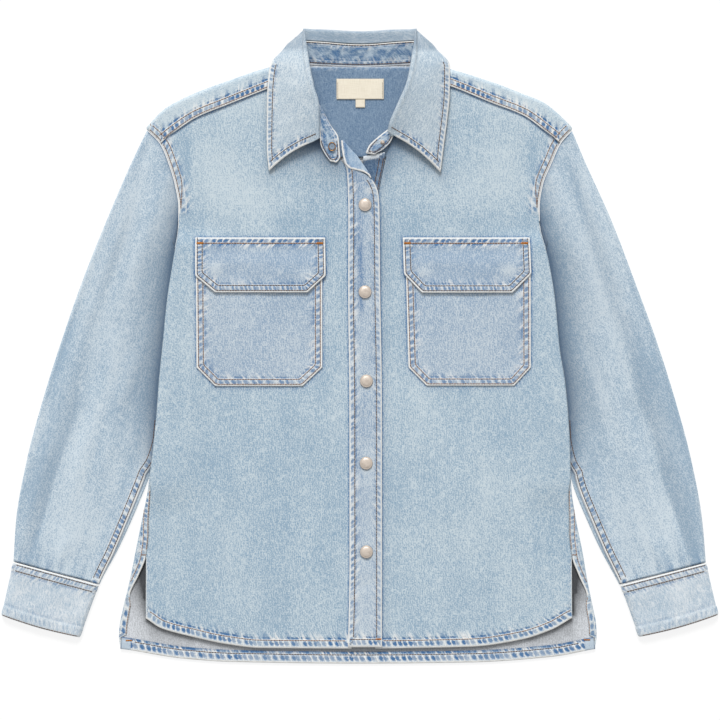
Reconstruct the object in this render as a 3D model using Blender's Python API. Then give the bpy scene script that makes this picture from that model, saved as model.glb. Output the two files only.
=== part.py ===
# A denim shirt laid flat on its back, with its sleeves beside it. +X is to the right, +Y towards the collar,
# +Z up. The origin is at the middle of its outline, on the surface that it lies on.
# All sizes below are in millimetres. "left" and "right" are as seen from above.

from collections import namedtuple

import bpy
import numpy as np

MM = 0.001

# Cloth and the way it is stacked
WALL = 1.2              # one layer of denim
BAND_WALL = 1.6         # the placket band, collar and stand are doubled
CUFF_WALL = 2.0
SEAM_GAP = 0.3
FRONT_TOP = 5.2         # outer surface of the fronts over the floor
FELL = 0.6              # how far a felled seam or a turned hem stands proud
FELL_WIDTH = 8.5
STEP = 0.004            # share of a panel's width that the step down from a felled seam takes
YOKE_TOP = FRONT_TOP + SEAM_GAP + WALL      # the yoke's front edge lies over the fronts

# Body
YOKE_SEAM_Y = 223.0     # seam between the yoke and the lower back
NECK_HALF = 72.0        # the yoke wraps over the shoulders outside this
NECK_Y, NECK_RISE = 335.2, 2.8      # back neckline at the middle, and how much higher it is at its ends
UNDERARM_Y = 146.0
FLAT_Y = 152.0          # above this the panels end flat, at the armhole
ROLL_RUN = 10.0         # length over which the flat back starts to roll over at its sides
TUCK = 15.0             # width of cloth that this roll takes
VENT_Y = -253.0         # top of the side vents
VENT_SPLAY = 0.004      # how far the front leans out below that, by length
ARMHOLE_GAP = 0.4
YOKE_END_Y = 245.8      # where the yoke's front seam meets the armhole

# The body's edge: its armhole above the underarm, its side below
EDGE = ("y left right", [
    (262, 259.0, 258.0), (258.5, 255.0, 254.0), (242, 239.0, 239.4), (222.4, 230.4, 230.6),
    (192.5, 221.4, 218.6), (166.6, 217.4, 215.0), (146, 217.6, 215.4), (103, 224.4, 226.0),
    (55, 232.8, 234.0), (-5, 238.8, 239.8), (-41, 241.4, 245.6), (-82, 244.1, 249.6),
    (-125, 248.4, 252.0), (-158, 252.5, 252.9), (-173, 254.4, 253.6), (-209, 261.6, 259.2),
    (-245, 268.8, 266.4), (-281, 276.0, 272.6), (-317, 284.4, 279.8), (-335, 288.0, 283.2),
    (-350, 289.2, 283.8), (-366, 287.0, 281.5)])

# How far the back shows on the front beside its fold, and how high that fold is
WRAP = ("y width height", [
    (146, 3.6, 5.2), (-158, 3.6, 5.2), (-176, 4.2, 5.2), (-209, 8.4, 5.2), (-231, 11.2, 5.2),
    (VENT_Y, 13.4, 5.2), (-276, 9.0, 4.4), (-298, 4.0, 3.4), (-312, 8.5, 2.8), (-366, 9.5, 2.8)])

# Rows that the back and the fronts share down their side seams, and their own below the vents
SIDE_ROWS = [130, 112, 80, 40, -5, -50, -95, -130, -157, -176, -209, -231, VENT_Y]
BACK_FOOT_ROWS = [-276, -298, -312, -335, -357, -366]
FRONT_FOOT_ROWS = [-285, -320, -352.8, -353.6, -362]
FRONT_HEM_TOP = -353.2          # top of the turned hem, before the foot is bent to its curve
SIDE_FELL = (-190.0, -250.0)    # stretch of the back's fold that carries a felled seam

# Bottom edges, across the shirt
BACK_HEM = ("x y", [
    (-292, -363.0), (-286, -363.6), (-214, -375.0), (-153, -379.2), (0, -381.2), (132, -379.8),
    (230, -373.1), (281, -363.8), (292, -362.0)])
FRONT_HEM = ("x y", [
    (-262, -324.0), (-257, -326.6), (-239, -338.3), (-202, -348.6), (-159, -357.8), (-120, -362.2),
    (0, -363.0), (132, -360.8), (193, -352.3), (230, -340.1), (254, -326.6), (262, -323.0)])

# Inner edges of the fronts: neckline, then under the placket
FRONT_INNER = ("y left right", [
    (322, -73.0, 73.0), (305, -70.0, 70.0), (283, -60.5, 60.5), (266, -46.5, 49.0), (250, -29.5, 37.0),
    (238, -27.5, 34.5), (224, -24.0, 31.0), (213, -15.0, 28.4), (200, -10.0, 25.6), (183, -10.0, 22.6),
    (160, -10.0, 18.2), (-366, -10.0, 18.2)])
# Upper outer edges of the fronts, tucked under the yoke's front edge
FRONT_SHOULDER = ("y left right", [
    (322, -84.0, 84.0), (311, -113.0, 117.0), (286, -177.0, 180.0), (276, -199.0, 204.0),
    (260, -222.0, 222.5), (245.8, -235.4, 235.6)])
# Shoulder fold, and the seam where the yoke ends on the fronts
SHOULDER_FOLD = ("x left right", [
    (72, 341.4, 341.4), (110, 333.4, 331.3), (163, 315.4, 314.2), (194, 303.7, 302.0),
    (216, 293.2, 293.0), (230, 285.0, 283.0), (255, 259.4, 258.8)])
YOKE_FRONT = ("x left right", [
    (72, 322.6, 322.6), (110, 308.2, 310.4), (157, 289.5, 291.4), (196, 273.5, 275.9),
    (222, 256.2, 257.2), (240, 241.6, 242.8)])

# Placket: band on top, its turned-back end, band beneath. The hem starts clear of the band.
BAND_CLEAR = {"left": -15.2, "right": 27.4}
BAND = ("y left right", [
    (224, -21.2, -16.0), (216, -18.0, -8.5), (210, -16.0, -0.5), (200.6, -15.2, 13.4),
    (192, -14.8, 18.9), (181.4, -14.5, 22.2), (163, -14.0, 23.4), (67, -14.2, 24.3), (-65, -12.8, 26.3),
    (-257, -12.6, 26.4), (-361.2, -14.4, 26.4)])
TURNBACK = ("y left right", [
    (246, -22.6, -19.6), (243.5, -22.4, -17.6), (236.2, -21.8, -11.6), (227.8, -20.6, -3.4),
    (218.2, -18.0, 3.2), (212.8, -13.2, 7.2), (208.6, 3.6, 9.8), (205.6, 9.0, 11.8), (201.2, 12.6, 13.8)])
TURNBACK_LIFT, TURNBACK_FLAT_Y, TURNBACK_RUN = 0.4, 213.0, 30.0   # its free end lifts off the band
UNDER_BAND = ("y left right top", [
    (227, 4.0, 30.5, 5.2), (213, 3.4, 28.0, 5.2), (200, 2.0, 25.2, 5.2), (183, -4.0, 22.2, 5.2),
    (172, -8.6, 19.2, 4.4), (160, -9.0, 17.3, 3.7), (140, -20.0, 17.3, 3.7), (-358.5, -20.0, 17.3, 3.7)])

# Chest pockets and flaps, straight-sided with clipped corners
POCKET = {
    "left": ("y left right", [(92, -195, -45.2), (-26, -194.6, -45.2), (-48.5, -172.6, -69.0)]),
    "right": ("y left right", [(92, 54.8, 204.4), (-26, 58.1, 204.7), (-48.0, 80.0, 184.6)])}
FLAP = {
    "left": ("y left right", [(128, -197.4, -41.8), (84, -197.4, -41.0), (63.8, -173.3, -63.1)]),
    "right": ("y left right", [(128, 51.1, 203.4), (86, 52.6, 205.2), (63.4, 74.4, 182.4)])}
FLAP_STEP = (118.0, 97.0)       # the flap rises from the front on to the pocket between these

# Sleeves: outer edge, inner edge and how far that is tucked under the body
SLEEVE_OUTER = ("t leftX leftY rightX rightY", [
    (0.00, -255.4, 258.0, 254.4, 257.6), (0.07, -272.4, 223.0, 268.8, 223.0),
    (0.21, -303.6, 151.0, 301.2, 151.0), (0.35, -332.4, 79.0, 328.8, 79.0),
    (0.49, -357.6, 7.0, 355.2, 7.0), (0.63, -380.4, -65.0, 378.0, -65.0),
    (0.77, -399.6, -137.0, 397.2, -137.0), (0.905, -412.4, -209.0, 410.4, -209.0),
    (1.00, -415.4, -258.0, 414.5, -259.2)])
SLEEVE_INNER_Y = ("t left right", [(0, 145.5, 145.5), (0.7, -158.0, -158.0), (1, -285.8, -285.8)])
SLEEVE_TUCK = ("y width", [(146, -0.5), (116, -0.5), (90, 13.0), (-110, 13.0), (-140, 8.0), (-157, -0.6)])
SLEEVE_INNER_FREE = ("y left right", [
    (-157, 253.2, 253.6), (-173, 261.4, 259.4), (-209, 277.2, 274.8), (-245, 294.0, 291.6),
    (-281, 312.0, 309.6), (-290, 314.4, 313.4)])
SLEEVE_THICK = ("inside height", [(0, 3.2), (17, 3.2), (62, 6.2), (400, 6.2)])
SLEEVE_EDGE_THICK, SLEEVE_EDGE_RUN = 5.0, 40.0
SLEEVE_TOP_POINTS = 14
CAP_SHARE = 0.3                 # share of the length over which the armhole's curve dies out
SLEEVE_ROWS = [0, 0.045, 0.1, 0.16, 0.225, 0.29, 0.36, 0.43, 0.5, 0.57, 0.64, 0.71, 0.78, 0.85, 0.9, 0.95, 1]
BODY_LIFT = 3.6                 # the body's side edges lie over the sleeves
LIFT_FLAT, LIFT_OUT = 18.0, 84.0
LIFT_WINDOW = ("y share", [(262, 0), (143, 0), (117, 1), (-160, 1), (-205, 0), (-366, 0)])

# Soft folds, as ridges from a first to a second point in plan
FOLDS = ("x1 y1 x2 y2 width height", [
    (-236, 196, -268, 96, 9, 1.6), (-243, 148, -290, 40, 12, 1.3), (-262, 60, -318, -70, 15, 1.0),
    (-252, 20, -282, -60, 10, 1.3), (-300, -60, -352, -170, 14, 1.1),
    (-381, -216, -397, -257, 5, 1.7), (-352, -232, -362, -262, 6, 0.9),
    (233, 200, 262, 104, 9, 1.5), (240, 150, 284, 46, 12, 1.4), (256, 66, 312, -62, 15, 1.1),
    (254, 10, 286, -78, 10, 1.2), (300, -66, 350, -168, 14, 1.0),
    (379, -214, 396, -256, 5, 1.7), (350, -230, 360, -262, 6, 1.0),
    (-120, -120, -60, -330, 26, 0.5), (90, -90, 130, -300, 30, 0.5)])

CUFF = {    # corners: sleeve end outer and inner, wrist outer and inner
    "left": ((-415.6, -258.6), (-313.2, -286.4), (-429.6, -323.0), (-336.0, -349.2)),
    "right": ((414.7, -259.8), (312.2, -286.5), (429.2, -322.3), (334.8, -348.6))}
CUFF_TOP, CUFF_EDGE = 7.6, 6.0
CUFF_PROUD = 0.5                # the folded-in edges at both ends of the cuff
CUFF_BOW = 2.2                  # how far the wrist edge bows out

# Collar and stand: sections from the left front end round the back to the right front end.
# seam and top are the stand's lower and upper edges, roll is the fold's outermost point, radius its
# roundness, lean its tilt (90 stands up, 0 lies back), turn the way out in plan, edge the collar's edge.
COLLAR_COLUMNS, STAND_COLUMNS = 35, 44
LEAF_SWELL = [0.8, 1.0, 0.7]    # how far the leaf swells up between its roll and its edge
Section = namedtuple("Section", "seam top roll radius lean turn edge")
STAND_LEFT_END = [((-28, 219.4, 7.4), (-36, 221, 7.8)), ((-23.6, 226, 7.6), (-43.2, 231, 8.8)),
                  ((-24.5, 238, 7.8), (-48, 242, 10.4))]
STAND_RIGHT_END = [((20, 249, 7.6), (35.4, 240, 9.8)), ((10, 238.4, 7.6), (31.4, 230.6, 8.6)),
                   ((6.4, 229.4, 7.4), (20, 226.4, 7.8))]
LEFT_LEAF = [
    Section((-25.6, 249.5, 7.8), (-48.6, 251, 12.0), (-50, 247.5, 16), 3.0, 112, 212, (-109.2, 209.2, 9.0)),
    Section((-41, 265, 6.2), (-51, 268, 16), (-50, 266, 20.5), 3.1, 110, 206, (-111.6, 234, 9.2)),
    Section((-56, 283, 5.2), (-53.6, 287, 19.5), (-49.4, 286, 24), 3.2, 108, 197, (-111.8, 264, 9.6)),
    Section((-66, 305, 4.8), (-59, 308, 21), (-54.8, 308, 26), 3.2, 106, 186, (-111.3, 300, 10))]
LEFT_SHOULDER = [
    Section((-68.6, 322, 4.8), (-64.5, 327, 19), (-60, 330, 24), 3.3, 98, 175, (-108, 334, 9.4)),
    Section((-66, 333.5, 4.2), (-67.5, 347, 14.5), (-65, 354, 19), 3.5, 72, 152, (-94, 353, 6.5))]
LEFT_BACK = [
    Section((-60, 338.4, 3.4), (-64, 360, 11), (-69.5, 373.5, 11), 3.9, 30, 120, (-78.5, 364.5, 1.8)),
    Section((-46, 337.4, 3.1), (-50, 365, 9.0), (-53, 380.8, 4.3), 4.2, 4, 94, (-54, 353, 0.0))]
BACK_MIDDLE = [
    Section((0, 335.8, 3.0), (0, 361.6, 8.2), (0, 376.8, 4.2), 4.2, 0, 90, (0, 352, 0.0))]
RIGHT_LEAF = [
    Section((66, 305, 4.8), (59, 308, 21), (55.4, 308, 26), 3.2, 106, -6, (107.6, 302, 10)),
    Section((56.5, 283, 5.2), (50, 287, 19.5), (44.6, 284, 24), 3.2, 108, -15, (104.6, 270, 9.6)),
    Section((44, 267, 6.2), (43, 267, 16), (37, 266, 20), 3.1, 110, -26, (100.6, 240, 9.2)),
    Section((30, 257, 7.6), (39.6, 250, 11.6), (34.4, 255.6, 15.6), 3.0, 112, -38, (96.6, 207.4, 9.0))]

# Snaps: centres down the band, and the cap's turned profile
SNAPS = ("x y", [(6.0, 169.0), (6.0, 64.6), (7.7, -42.2), (7.4, -140.6), (7.7, -246.8)])
SNAP_PROFILE = ("r z", [(7.1, 0), (7.7, 0.7), (7.5, 1.5), (6.7, 1.9), (5.9, 1.7), (4.2, 2.7), (2.2, 3.2)])
SOCKET_AT, SOCKET_TILT = (-33.4, 238.6, 10.1), 6.5
SOCKET_PROFILE = ("r z", [(5.2, 0), (5.4, 0.8), (4.6, 1.6), (3.4, 1.5), (2.6, 0.7), (2.5, 0)])
STUD_AT, STUD_TILT = (27.0, 243.6, 9.6), -9.0
STUD_PROFILE = ("r z", [(3.6, 0), (3.8, 0.6), (2.2, 0.9), (2.1, 2.2), (2.4, 2.7), (1.4, 3.2)])

# left, right, lower and upper edges
LABEL = (-28.2, 28.6, 295.7, 320.2)
SIZE_TAB = (-5.3, 6.0, 285.8, 295.4)
LABEL_WALL = 0.8


# --- reading the tables -------------------------------------------------------------------------------
def column(table, name):
    return np.array([row[table[0].split().index(name)] for row in table[1]], float)


def smooth(xs, ys, at):
    """A curve through the points (xs, ys), rounded where they bend and straight where they run straight."""
    xs, ys = np.asarray(xs, float), np.asarray(ys, float)
    if xs[0] > xs[-1]:
        xs, ys = xs[::-1], ys[::-1]
    step = np.diff(xs)
    slope = np.diff(ys, axis=0) / (step if ys.ndim == 1 else step[:, None])
    before, after = slope[:-1], slope[1:]
    middle = np.where(before * after > 0, 2 * before * after / (before + after + 1e-12), 0.0)
    ends = np.concatenate([slope[:1], middle, slope[-1:]])
    at = np.clip(at, xs[0], xs[-1])
    i = np.clip(np.searchsorted(xs, at, side="right") - 1, 0, len(step) - 1)
    u, h = (at - xs[i]) / step[i], step[i]
    if ys.ndim > 1:
        u, h = u[..., None], h[..., None]
    return (ys[i] * (1 + 2 * u) * (1 - u) ** 2 + ends[i] * h * u * (1 - u) ** 2
            + ys[i + 1] * u * u * (3 - 2 * u) - ends[i + 1] * h * u * u * (1 - u))


def look(table, name, at, key="y"):
    return smooth(column(table, key), column(table, name), np.asarray(at, float))


def straight(table, name, at, key="y"):
    xs, ys = column(table, key), column(table, name)
    order = np.argsort(xs)
    return np.interp(at, xs[order], ys[order])


def ease(value):
    value = np.clip(value, 0, 1)
    return value * value * (3 - 2 * value)


# --- the stack's heights ------------------------------------------------------------------------------
def lift(x, y):
    """How far the body is raised at its sides, where it lies over the sleeves."""
    edge = np.where(x < 0, look(EDGE, "left", y), look(EDGE, "right", y))
    inside = edge - np.abs(x)
    return BODY_LIFT * look(LIFT_WINDOW, "share", y) * ease((LIFT_OUT - inside) / (LIFT_OUT - LIFT_FLAT))


def folds(x, y):
    """Height of the soft folds at a place in plan."""
    total = 0.0
    for x1, y1, x2, y2, width, height in FOLDS[1]:
        run = np.array([x2 - x1, y2 - y1])
        t = ((x - x1) * run[0] + (y - y1) * run[1]) / (run @ run)
        u = np.clip(t, 0, 1)
        off = np.hypot(x - x1 - u * run[0], y - y1 - u * run[1])
        fullness = 0.35 + 0.65 * np.sin(np.pi * (0.08 + 0.84 * u))     # a fold is highest at its middle
        total = total + height * fullness * np.exp(-(off / width) ** 2)
    return total


def front_top(x, y):
    return FRONT_TOP + lift(x, y) + folds(x, y)


# --- solids from grids of points ----------------------------------------------------------------------
def place(name, verts, faces, color, roughness=0.9, metallic=0.0, location=(0, 0, 0), tilt=0.0):
    mesh = bpy.data.meshes.new(name)
    mesh.from_pydata((np.asarray(verts) * MM).tolist(), [], faces)
    mesh.validate()
    obj = bpy.data.objects.new(name, mesh)
    obj.location = [value * MM for value in location]
    obj.rotation_euler = (0, -np.radians(tilt), 0)
    bpy.context.scene.collection.objects.link(obj)
    material = bpy.data.materials.new(name)
    material.use_nodes = True
    shader = material.node_tree.nodes["Principled BSDF"]
    shader.inputs["Base Color"].default_value = (*color, 1)
    shader.inputs["Roughness"].default_value = roughness
    shader.inputs["Metallic"].default_value = metallic
    mesh.materials.append(material)
    return obj


def normals(grid, ring):
    """Unit normals of a grid of points: rows crossed with columns."""
    down = np.gradient(grid, axis=0)
    if ring:
        across = (np.roll(grid, -1, axis=1) - np.roll(grid, 1, axis=1)) / 2
    else:
        across = np.gradient(grid, axis=1)
    n = np.cross(down, across)
    return n / (np.linalg.norm(n, axis=2, keepdims=True) + 1e-9)


def wall(name, grid, thickness, color, raised=None, ring=False, keep=None):
    """A closed wall: its outer side is the grid, raised where asked, and its inner side is plain."""
    n = normals(grid, ring)
    outer = grid if raised is None else grid + n * raised[..., None]
    inner = grid - n * thickness
    rows, cols = grid.shape[:2]
    verts = np.concatenate([outer.reshape(-1, 3), inner.reshape(-1, 3)])
    faces, edges = [], {}
    for i in range(rows - 1):
        for j in range(cols if ring else cols - 1):
            if keep is not None and not keep(i, j):
                continue
            k = (j + 1) % cols
            quad = [i * cols + j, (i + 1) * cols + j, (i + 1) * cols + k, i * cols + k]
            faces.append(quad)
            faces.append([v + rows * cols for v in reversed(quad)])
            for a, b in zip(quad, quad[1:] + quad[:1]):
                edges[a, b] = True
    for a, b in edges:
        if (b, a) not in edges:
            faces.append([b, a, a + rows * cols, b + rows * cols])
    used = sorted({v for face in faces for v in face})
    number = {v: i for i, v in enumerate(used)}
    return place(name, verts[used], [[number[v] for v in face] for face in faces], color)


def ruled(left, right, ys, shares):
    """Plan points of a panel: rows down its ys, columns at shares of the way from left to right."""
    shares = np.asarray(shares, float)
    x = left[:, None] + (right - left)[:, None] * shares
    return x, np.repeat(np.asarray(ys, float)[:, None], len(shares), axis=1)


DENIM = (0.42, 0.53, 0.66)
DENIM_INSIDE = (0.52, 0.58, 0.66)
YOKE_INSIDE = (0.22, 0.32, 0.46)


# --- body ---------------------------------------------------------------------------------------------
def back():
    """The lower back, from the right side's fold under the body to the left side's."""
    ys = np.concatenate([np.linspace(YOKE_SEAM_Y - SEAM_GAP, FLAT_Y, 6), [FLAT_Y - ROLL_RUN], SIDE_ROWS,
                         BACK_FOOT_ROWS])
    inner = np.linspace(-1, 1, 10)[1:-1]
    arc = np.radians([-90, -30, 30, 90])
    grid = []
    for y in ys:
        rolled = ease((FLAT_Y - y) / ROLL_RUN)
        high = look(WRAP, "height", y)
        wrap = look(WRAP, "width", y)
        radius = high / 2
        sides = {}
        for name in ("left", "right"):
            edge = look(EDGE, name, y) - (ARMHOLE_GAP if y > UNDERARM_Y else 0)
            around = [(edge - radius + radius * np.cos(a), radius + radius * np.sin(a)) for a in arc]
            fold = around + [(edge - radius - (wrap - radius) * s, high) for s in (0.47, 0.53, 1.0)]
            flat = [(x, 0.0) for x in np.linspace(edge - TUCK, edge, len(fold))]
            sides[name] = np.array(flat) * (1 - rolled) + np.array(fold) * rolled
        half = {name: sides[name][0][0] for name in sides}
        row = [(x, z) for x, z in reversed(sides["right"])]
        row += [(half["right"] * s if s > 0 else half["left"] * s, 0.0) for s in inner[::-1]]
        row += [(-x, z) for x, z in sides["left"]]
        grid.append([(x, y, z) for x, z in row])
    grid = np.array(grid)
    x, y = grid[..., 0], grid[..., 1]
    foot = look(BACK_HEM, "y", x, key="x")
    hem_rows = y < VENT_Y
    share = np.clip((VENT_Y - y) / (VENT_Y - ys[-1]), 0, 1)
    grid[..., 1] = np.where(hem_rows, VENT_Y + (foot - VENT_Y) * share, y)
    grid[..., 2] += lift(grid[..., 0], y)
    raised = np.zeros(x.shape)
    strip = (ys < SIDE_FELL[0]) & (ys > SIDE_FELL[1])
    raised[np.ix_(strip, [0, 1, -2, -1])] = FELL
    wall("back", grid, WALL, DENIM_INSIDE, raised)


def front(side):
    name = {"left": "front_left", "right": "front_right"}[side]
    sign = -1 if side == "left" else 1
    ys = np.concatenate([[322, 311, 298, 286, 276, 266, 255, YOKE_END_Y, 241], np.linspace(232, FLAT_Y, 7),
                         [149, 142], SIDE_ROWS, FRONT_FOOT_ROWS])
    outer = []
    for y in ys:
        if y >= YOKE_END_Y:
            outer.append(look(FRONT_SHOULDER, side, y))
        elif y >= FLAT_Y:
            outer.append(sign * (look(EDGE, side, y) - ARMHOLE_GAP))
        elif y > VENT_Y:
            outer.append(sign * (look(EDGE, side, y) - look(WRAP, "width", y) - SEAM_GAP))
        else:
            vent = look(EDGE, side, VENT_Y) - look(WRAP, "width", VENT_Y) - SEAM_GAP
            outer.append(sign * (vent + (VENT_Y - y) * VENT_SPLAY))
    outer = np.array(outer)
    inner = look(FRONT_INNER, side, ys)
    width = np.abs(outer - inner)
    steps = np.array([0, 0.25, 0.48, 0.6, 0.7, 0.8, 0.9, 1])
    rows = []
    for out, ins, w, y in zip(outer, inner, width, ys):
        first = np.clip(abs(BAND_CLEAR[side] - ins) / w, 0.02, 0.3)
        last = 1 - min(FELL_WIDTH / w, 0.25)
        between = first + STEP + (last - 2 * STEP - first) * steps
        share = np.concatenate([[0, first], between, [last, 1]])
        x = ins + (out - ins) * share
        rows.append([(a, y, 0.0) for a in (x if side == "right" else x[::-1])])
    grid = np.array(rows)
    x, y = grid[..., 0].copy(), grid[..., 1].copy()
    foot = look(FRONT_HEM, "y", x, key="x")
    share = np.clip((VENT_Y - y) / (VENT_Y - ys[-1]), 0, 1)
    grid[..., 1] = np.where(y < VENT_Y, VENT_Y + (foot - VENT_Y) * share, y)
    grid[..., 2] = front_top(grid[..., 0], grid[..., 1])
    raised = np.zeros(x.shape)
    clear_of_band = np.ones(x.shape[1], bool)
    clear_of_band[[0, 1] if side == "right" else [-1, -2]] = False
    raised[np.ix_(ys < FRONT_HEM_TOP, clear_of_band)] = FELL
    armhole = (ys < YOKE_END_Y) & (ys >= FLAT_Y)
    raised[np.ix_(armhole, [-1, -2] if side == "right" else [0, 1])] = FELL
    wall(name, grid, WALL, DENIM, raised)


def yoke_outer():
    """One panel from the back seam up to the neckline, and over the shoulder folds at each side of it."""
    spread = [0, 0.1, 0.22, 0.36, 0.52, 0.68, 0.84, 1]
    across = [(-1, share) for share in reversed(spread)]
    across += [(0, x) for x in np.linspace(-NECK_HALF, NECK_HALF, 9)[1:-1]]
    across += [(1, share) for share in spread]
    shoulder = SHOULDER_FOLD[1][-1][0] - NECK_HALF
    radius, arc = YOKE_TOP / 2, np.radians([-50, -5, 45, 90])
    grid = []
    for sign, share in across:
        side = "left" if sign < 0 else "right"
        if sign:
            fold = look(SHOULDER_FOLD, side, NECK_HALF + share * shoulder, key="x") - radius
            seam = 260.0
            for _ in range(8):      # settles on the place where this column meets the front seam
                out = NECK_HALF + share * (look(EDGE, side, seam) - ARMHOLE_GAP - NECK_HALF)
                seam = look(YOKE_FRONT, side, out, key="x")
        else:
            fold = seam = NECK_Y + NECK_RISE * ease(abs(share) / NECK_HALF)
        points = [(YOKE_SEAM_Y + (fold - YOKE_SEAM_Y) * s, 0.0) for s in (0, 0.25, 0.5, 0.75, 0.94, 1)]
        points += [(fold + radius * np.cos(a), radius + radius * np.sin(a)) for a in arc]
        points += [(fold + (seam - fold) * s, YOKE_TOP) for s in (0.5, 0.64, 0.68, 1)]
        wide = [look(EDGE, side, y) - ARMHOLE_GAP for y, _ in points]
        grid.append([((NECK_HALF + share * (w - NECK_HALF)) * sign if sign else share, y, z)
                     for w, (y, z) in zip(wide, points)])
    grid = np.array(grid).transpose(1, 0, 2)
    raised = np.zeros(grid.shape[:2])
    raised[-2:, :] = FELL * 0.6
    first, last = len(spread) - 1, grid.shape[1] - len(spread)
    wall("yoke_outer", grid, WALL, DENIM, raised, keep=lambda i, j: i < 5 or not first <= j < last)


def yoke_inner():
    """The facing inside the yoke, which ends short of the armholes and inside the shoulder folds."""
    ys = [NECK_Y - ARMHOLE_GAP, 318, 285, 255, 226]
    wide = {"left": [], "right": []}
    short, below = 12.0, 10.0
    for y in ys:
        for side in wide:
            arm = look(EDGE, side, min(y, 255)) - short
            shoulder = column(SHOULDER_FOLD, "x"), column(SHOULDER_FOLD, side)
            under_fold = np.interp(y + below, shoulder[1][::-1], shoulder[0][::-1])
            wide[side].append(min(arm, under_fold))
    left, right = -np.array(wide["left"]), np.array(wide["right"])
    x, y = ruled(left, right, ys, np.linspace(0, 1, 11))
    grid = np.stack([x, y, np.full(x.shape, 2 * WALL + SEAM_GAP)], axis=2)
    wall("yoke_inner", grid, WALL, YOKE_INSIDE)


# --- placket and pockets ------------------------------------------------------------------------------
def lying(name, table, ys, shares, over, thickness, color, curve=straight):
    """A piece that lies on the fronts: their own points moved up by what `over` adds."""
    x, y = ruled(curve(table, "left", ys), curve(table, "right", ys), ys, shares)
    grid = np.stack([x, y, front_top(x, y) + over(x, y) + thickness], axis=2)
    wall(name, grid, thickness, color)


def placket():
    ys = [224, 216, 210, 200.6, 192, 181.4, 163, 130, 100, 67, 30, 0, -30, -65, -100, -140, -180, -220, -257,
          -290, -320, -361.2]
    lying("placket_top", BAND, ys, [0, 0.25, 0.5, 0.75, 1], lambda x, y: SEAM_GAP, BAND_WALL, DENIM)
    lying("placket_turnback", TURNBACK, column(TURNBACK, "y"), [0, 0.5, 1],
          lambda x, y: 2 * SEAM_GAP + BAND_WALL + TURNBACK_LIFT * ease((y - TURNBACK_FLAT_Y) / TURNBACK_RUN),
          WALL, DENIM_INSIDE)
    ys = np.array([227, 213, 200, 183, 172, 160, 140, 90, 40, -10, -60, -110, -160, -210, -260, -310, -358.5])
    x, y = ruled(straight(UNDER_BAND, "left", ys), straight(UNDER_BAND, "right", ys), ys, [0, 0.5, 1])
    grid = np.stack([x, y, straight(UNDER_BAND, "top", y)], axis=2)
    wall("placket_under", grid, WALL, DENIM)


def pocket(side):
    ys = [92, 70, 45, 20, -5, -26, -37, -48.4]
    lying("pocket_" + side, POCKET[side], ys, np.linspace(0, 1, 9), lambda x, y: SEAM_GAP, WALL, DENIM)
    top, low = FLAP_STEP
    ys = [128, 118, 110, 103, 97, 84, 74, 63.9]
    lying("flap_" + side, FLAP[side], ys, np.linspace(0, 1, 9),
          lambda x, y: SEAM_GAP + (WALL + SEAM_GAP) * ease((top - y) / (top - low)), WALL, DENIM)


# --- sleeves and cuffs --------------------------------------------------------------------------------
def flat_ring(outer, inner, high, edge_high, inner_high, shape, top, bottom):
    """A flattened tube's section between two plan points: over the top, round the inner fold, back beneath
    and round the outer fold. shape moves the top and bottom points in plan by their share across."""
    outer, inner = np.asarray(outer, float), np.asarray(inner, float)
    run = inner - outer
    width = np.hypot(*run)
    run /= width
    r_out, r_in = edge_high / 2, inner_high / 2
    points = []
    for s in np.linspace(0, 1, top):
        a = r_out + (width - r_out - r_in) * s
        points.append((a, high(width - a, a)))
    points += [(width - r_in + r_in * np.cos(t), r_in + r_in * np.sin(t)) for t in np.radians([45, 0, -45])]
    for s in np.linspace(1, 0, bottom):
        points.append((r_out + (width - r_out - r_in) * s, 0.0))
    points += [(r_out - r_out * np.cos(t), r_out + r_out * np.sin(t)) for t in np.radians([-45, 0, 45])]
    plan = [outer + run * a + shape(a / width) for a, _ in points]
    return [(p[0], p[1], z) for p, (_, z) in zip(plan, points)]


def sleeve(side):
    sign = -1 if side == "left" else 1
    edge_ys = np.linspace(258.0, 145.5, 60)
    armhole = np.stack([sign * (look(EDGE, side, edge_ys) + 0.1), edge_ys], axis=1)
    lengths = np.concatenate([[0], np.cumsum(np.hypot(*np.diff(armhole, axis=0).T))])
    lengths /= lengths[-1]

    def bulge(share):
        on_curve = np.array([np.interp(share, lengths, armhole[:, k]) for k in (0, 1)])
        return on_curve - (armhole[0] + (armhole[-1] - armhole[0]) * share)

    rings = []
    for t in SLEEVE_ROWS:
        outer = [look(SLEEVE_OUTER, side + axis, t, key="t") for axis in "XY"]
        y = look(SLEEVE_INNER_Y, side, t, key="t")
        if y > SLEEVE_INNER_FREE[1][0][0]:
            x = look(EDGE, side, y) - look(SLEEVE_TUCK, "width", y)
        else:
            x = look(SLEEVE_INNER_FREE, side, y)
        high = lambda inside, outside: (
            look(SLEEVE_THICK, "height", inside, key="inside")
            - (look(SLEEVE_THICK, "height", inside, key="inside") - SLEEVE_EDGE_THICK)
            * (1 - ease(outside / SLEEVE_EDGE_RUN)) * (inside > SLEEVE_EDGE_RUN))
        fade = 1 - ease(t / CAP_SHARE)
        rings.append(flat_ring(outer, (sign * x, y), high, SLEEVE_EDGE_THICK,
                               look(SLEEVE_THICK, "height", 0, key="inside"), lambda s: bulge(s) * fade,
                               SLEEVE_TOP_POINTS, 5))
    grid = np.array(rings)
    top = slice(1, SLEEVE_TOP_POINTS - 1)
    grid[:, top, 2] += folds(grid[:, top, 0], grid[:, top, 1])
    if side == "right":
        grid = grid[::-1]
    wall("sleeve_" + side, grid, WALL, DENIM, ring=True)


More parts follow.
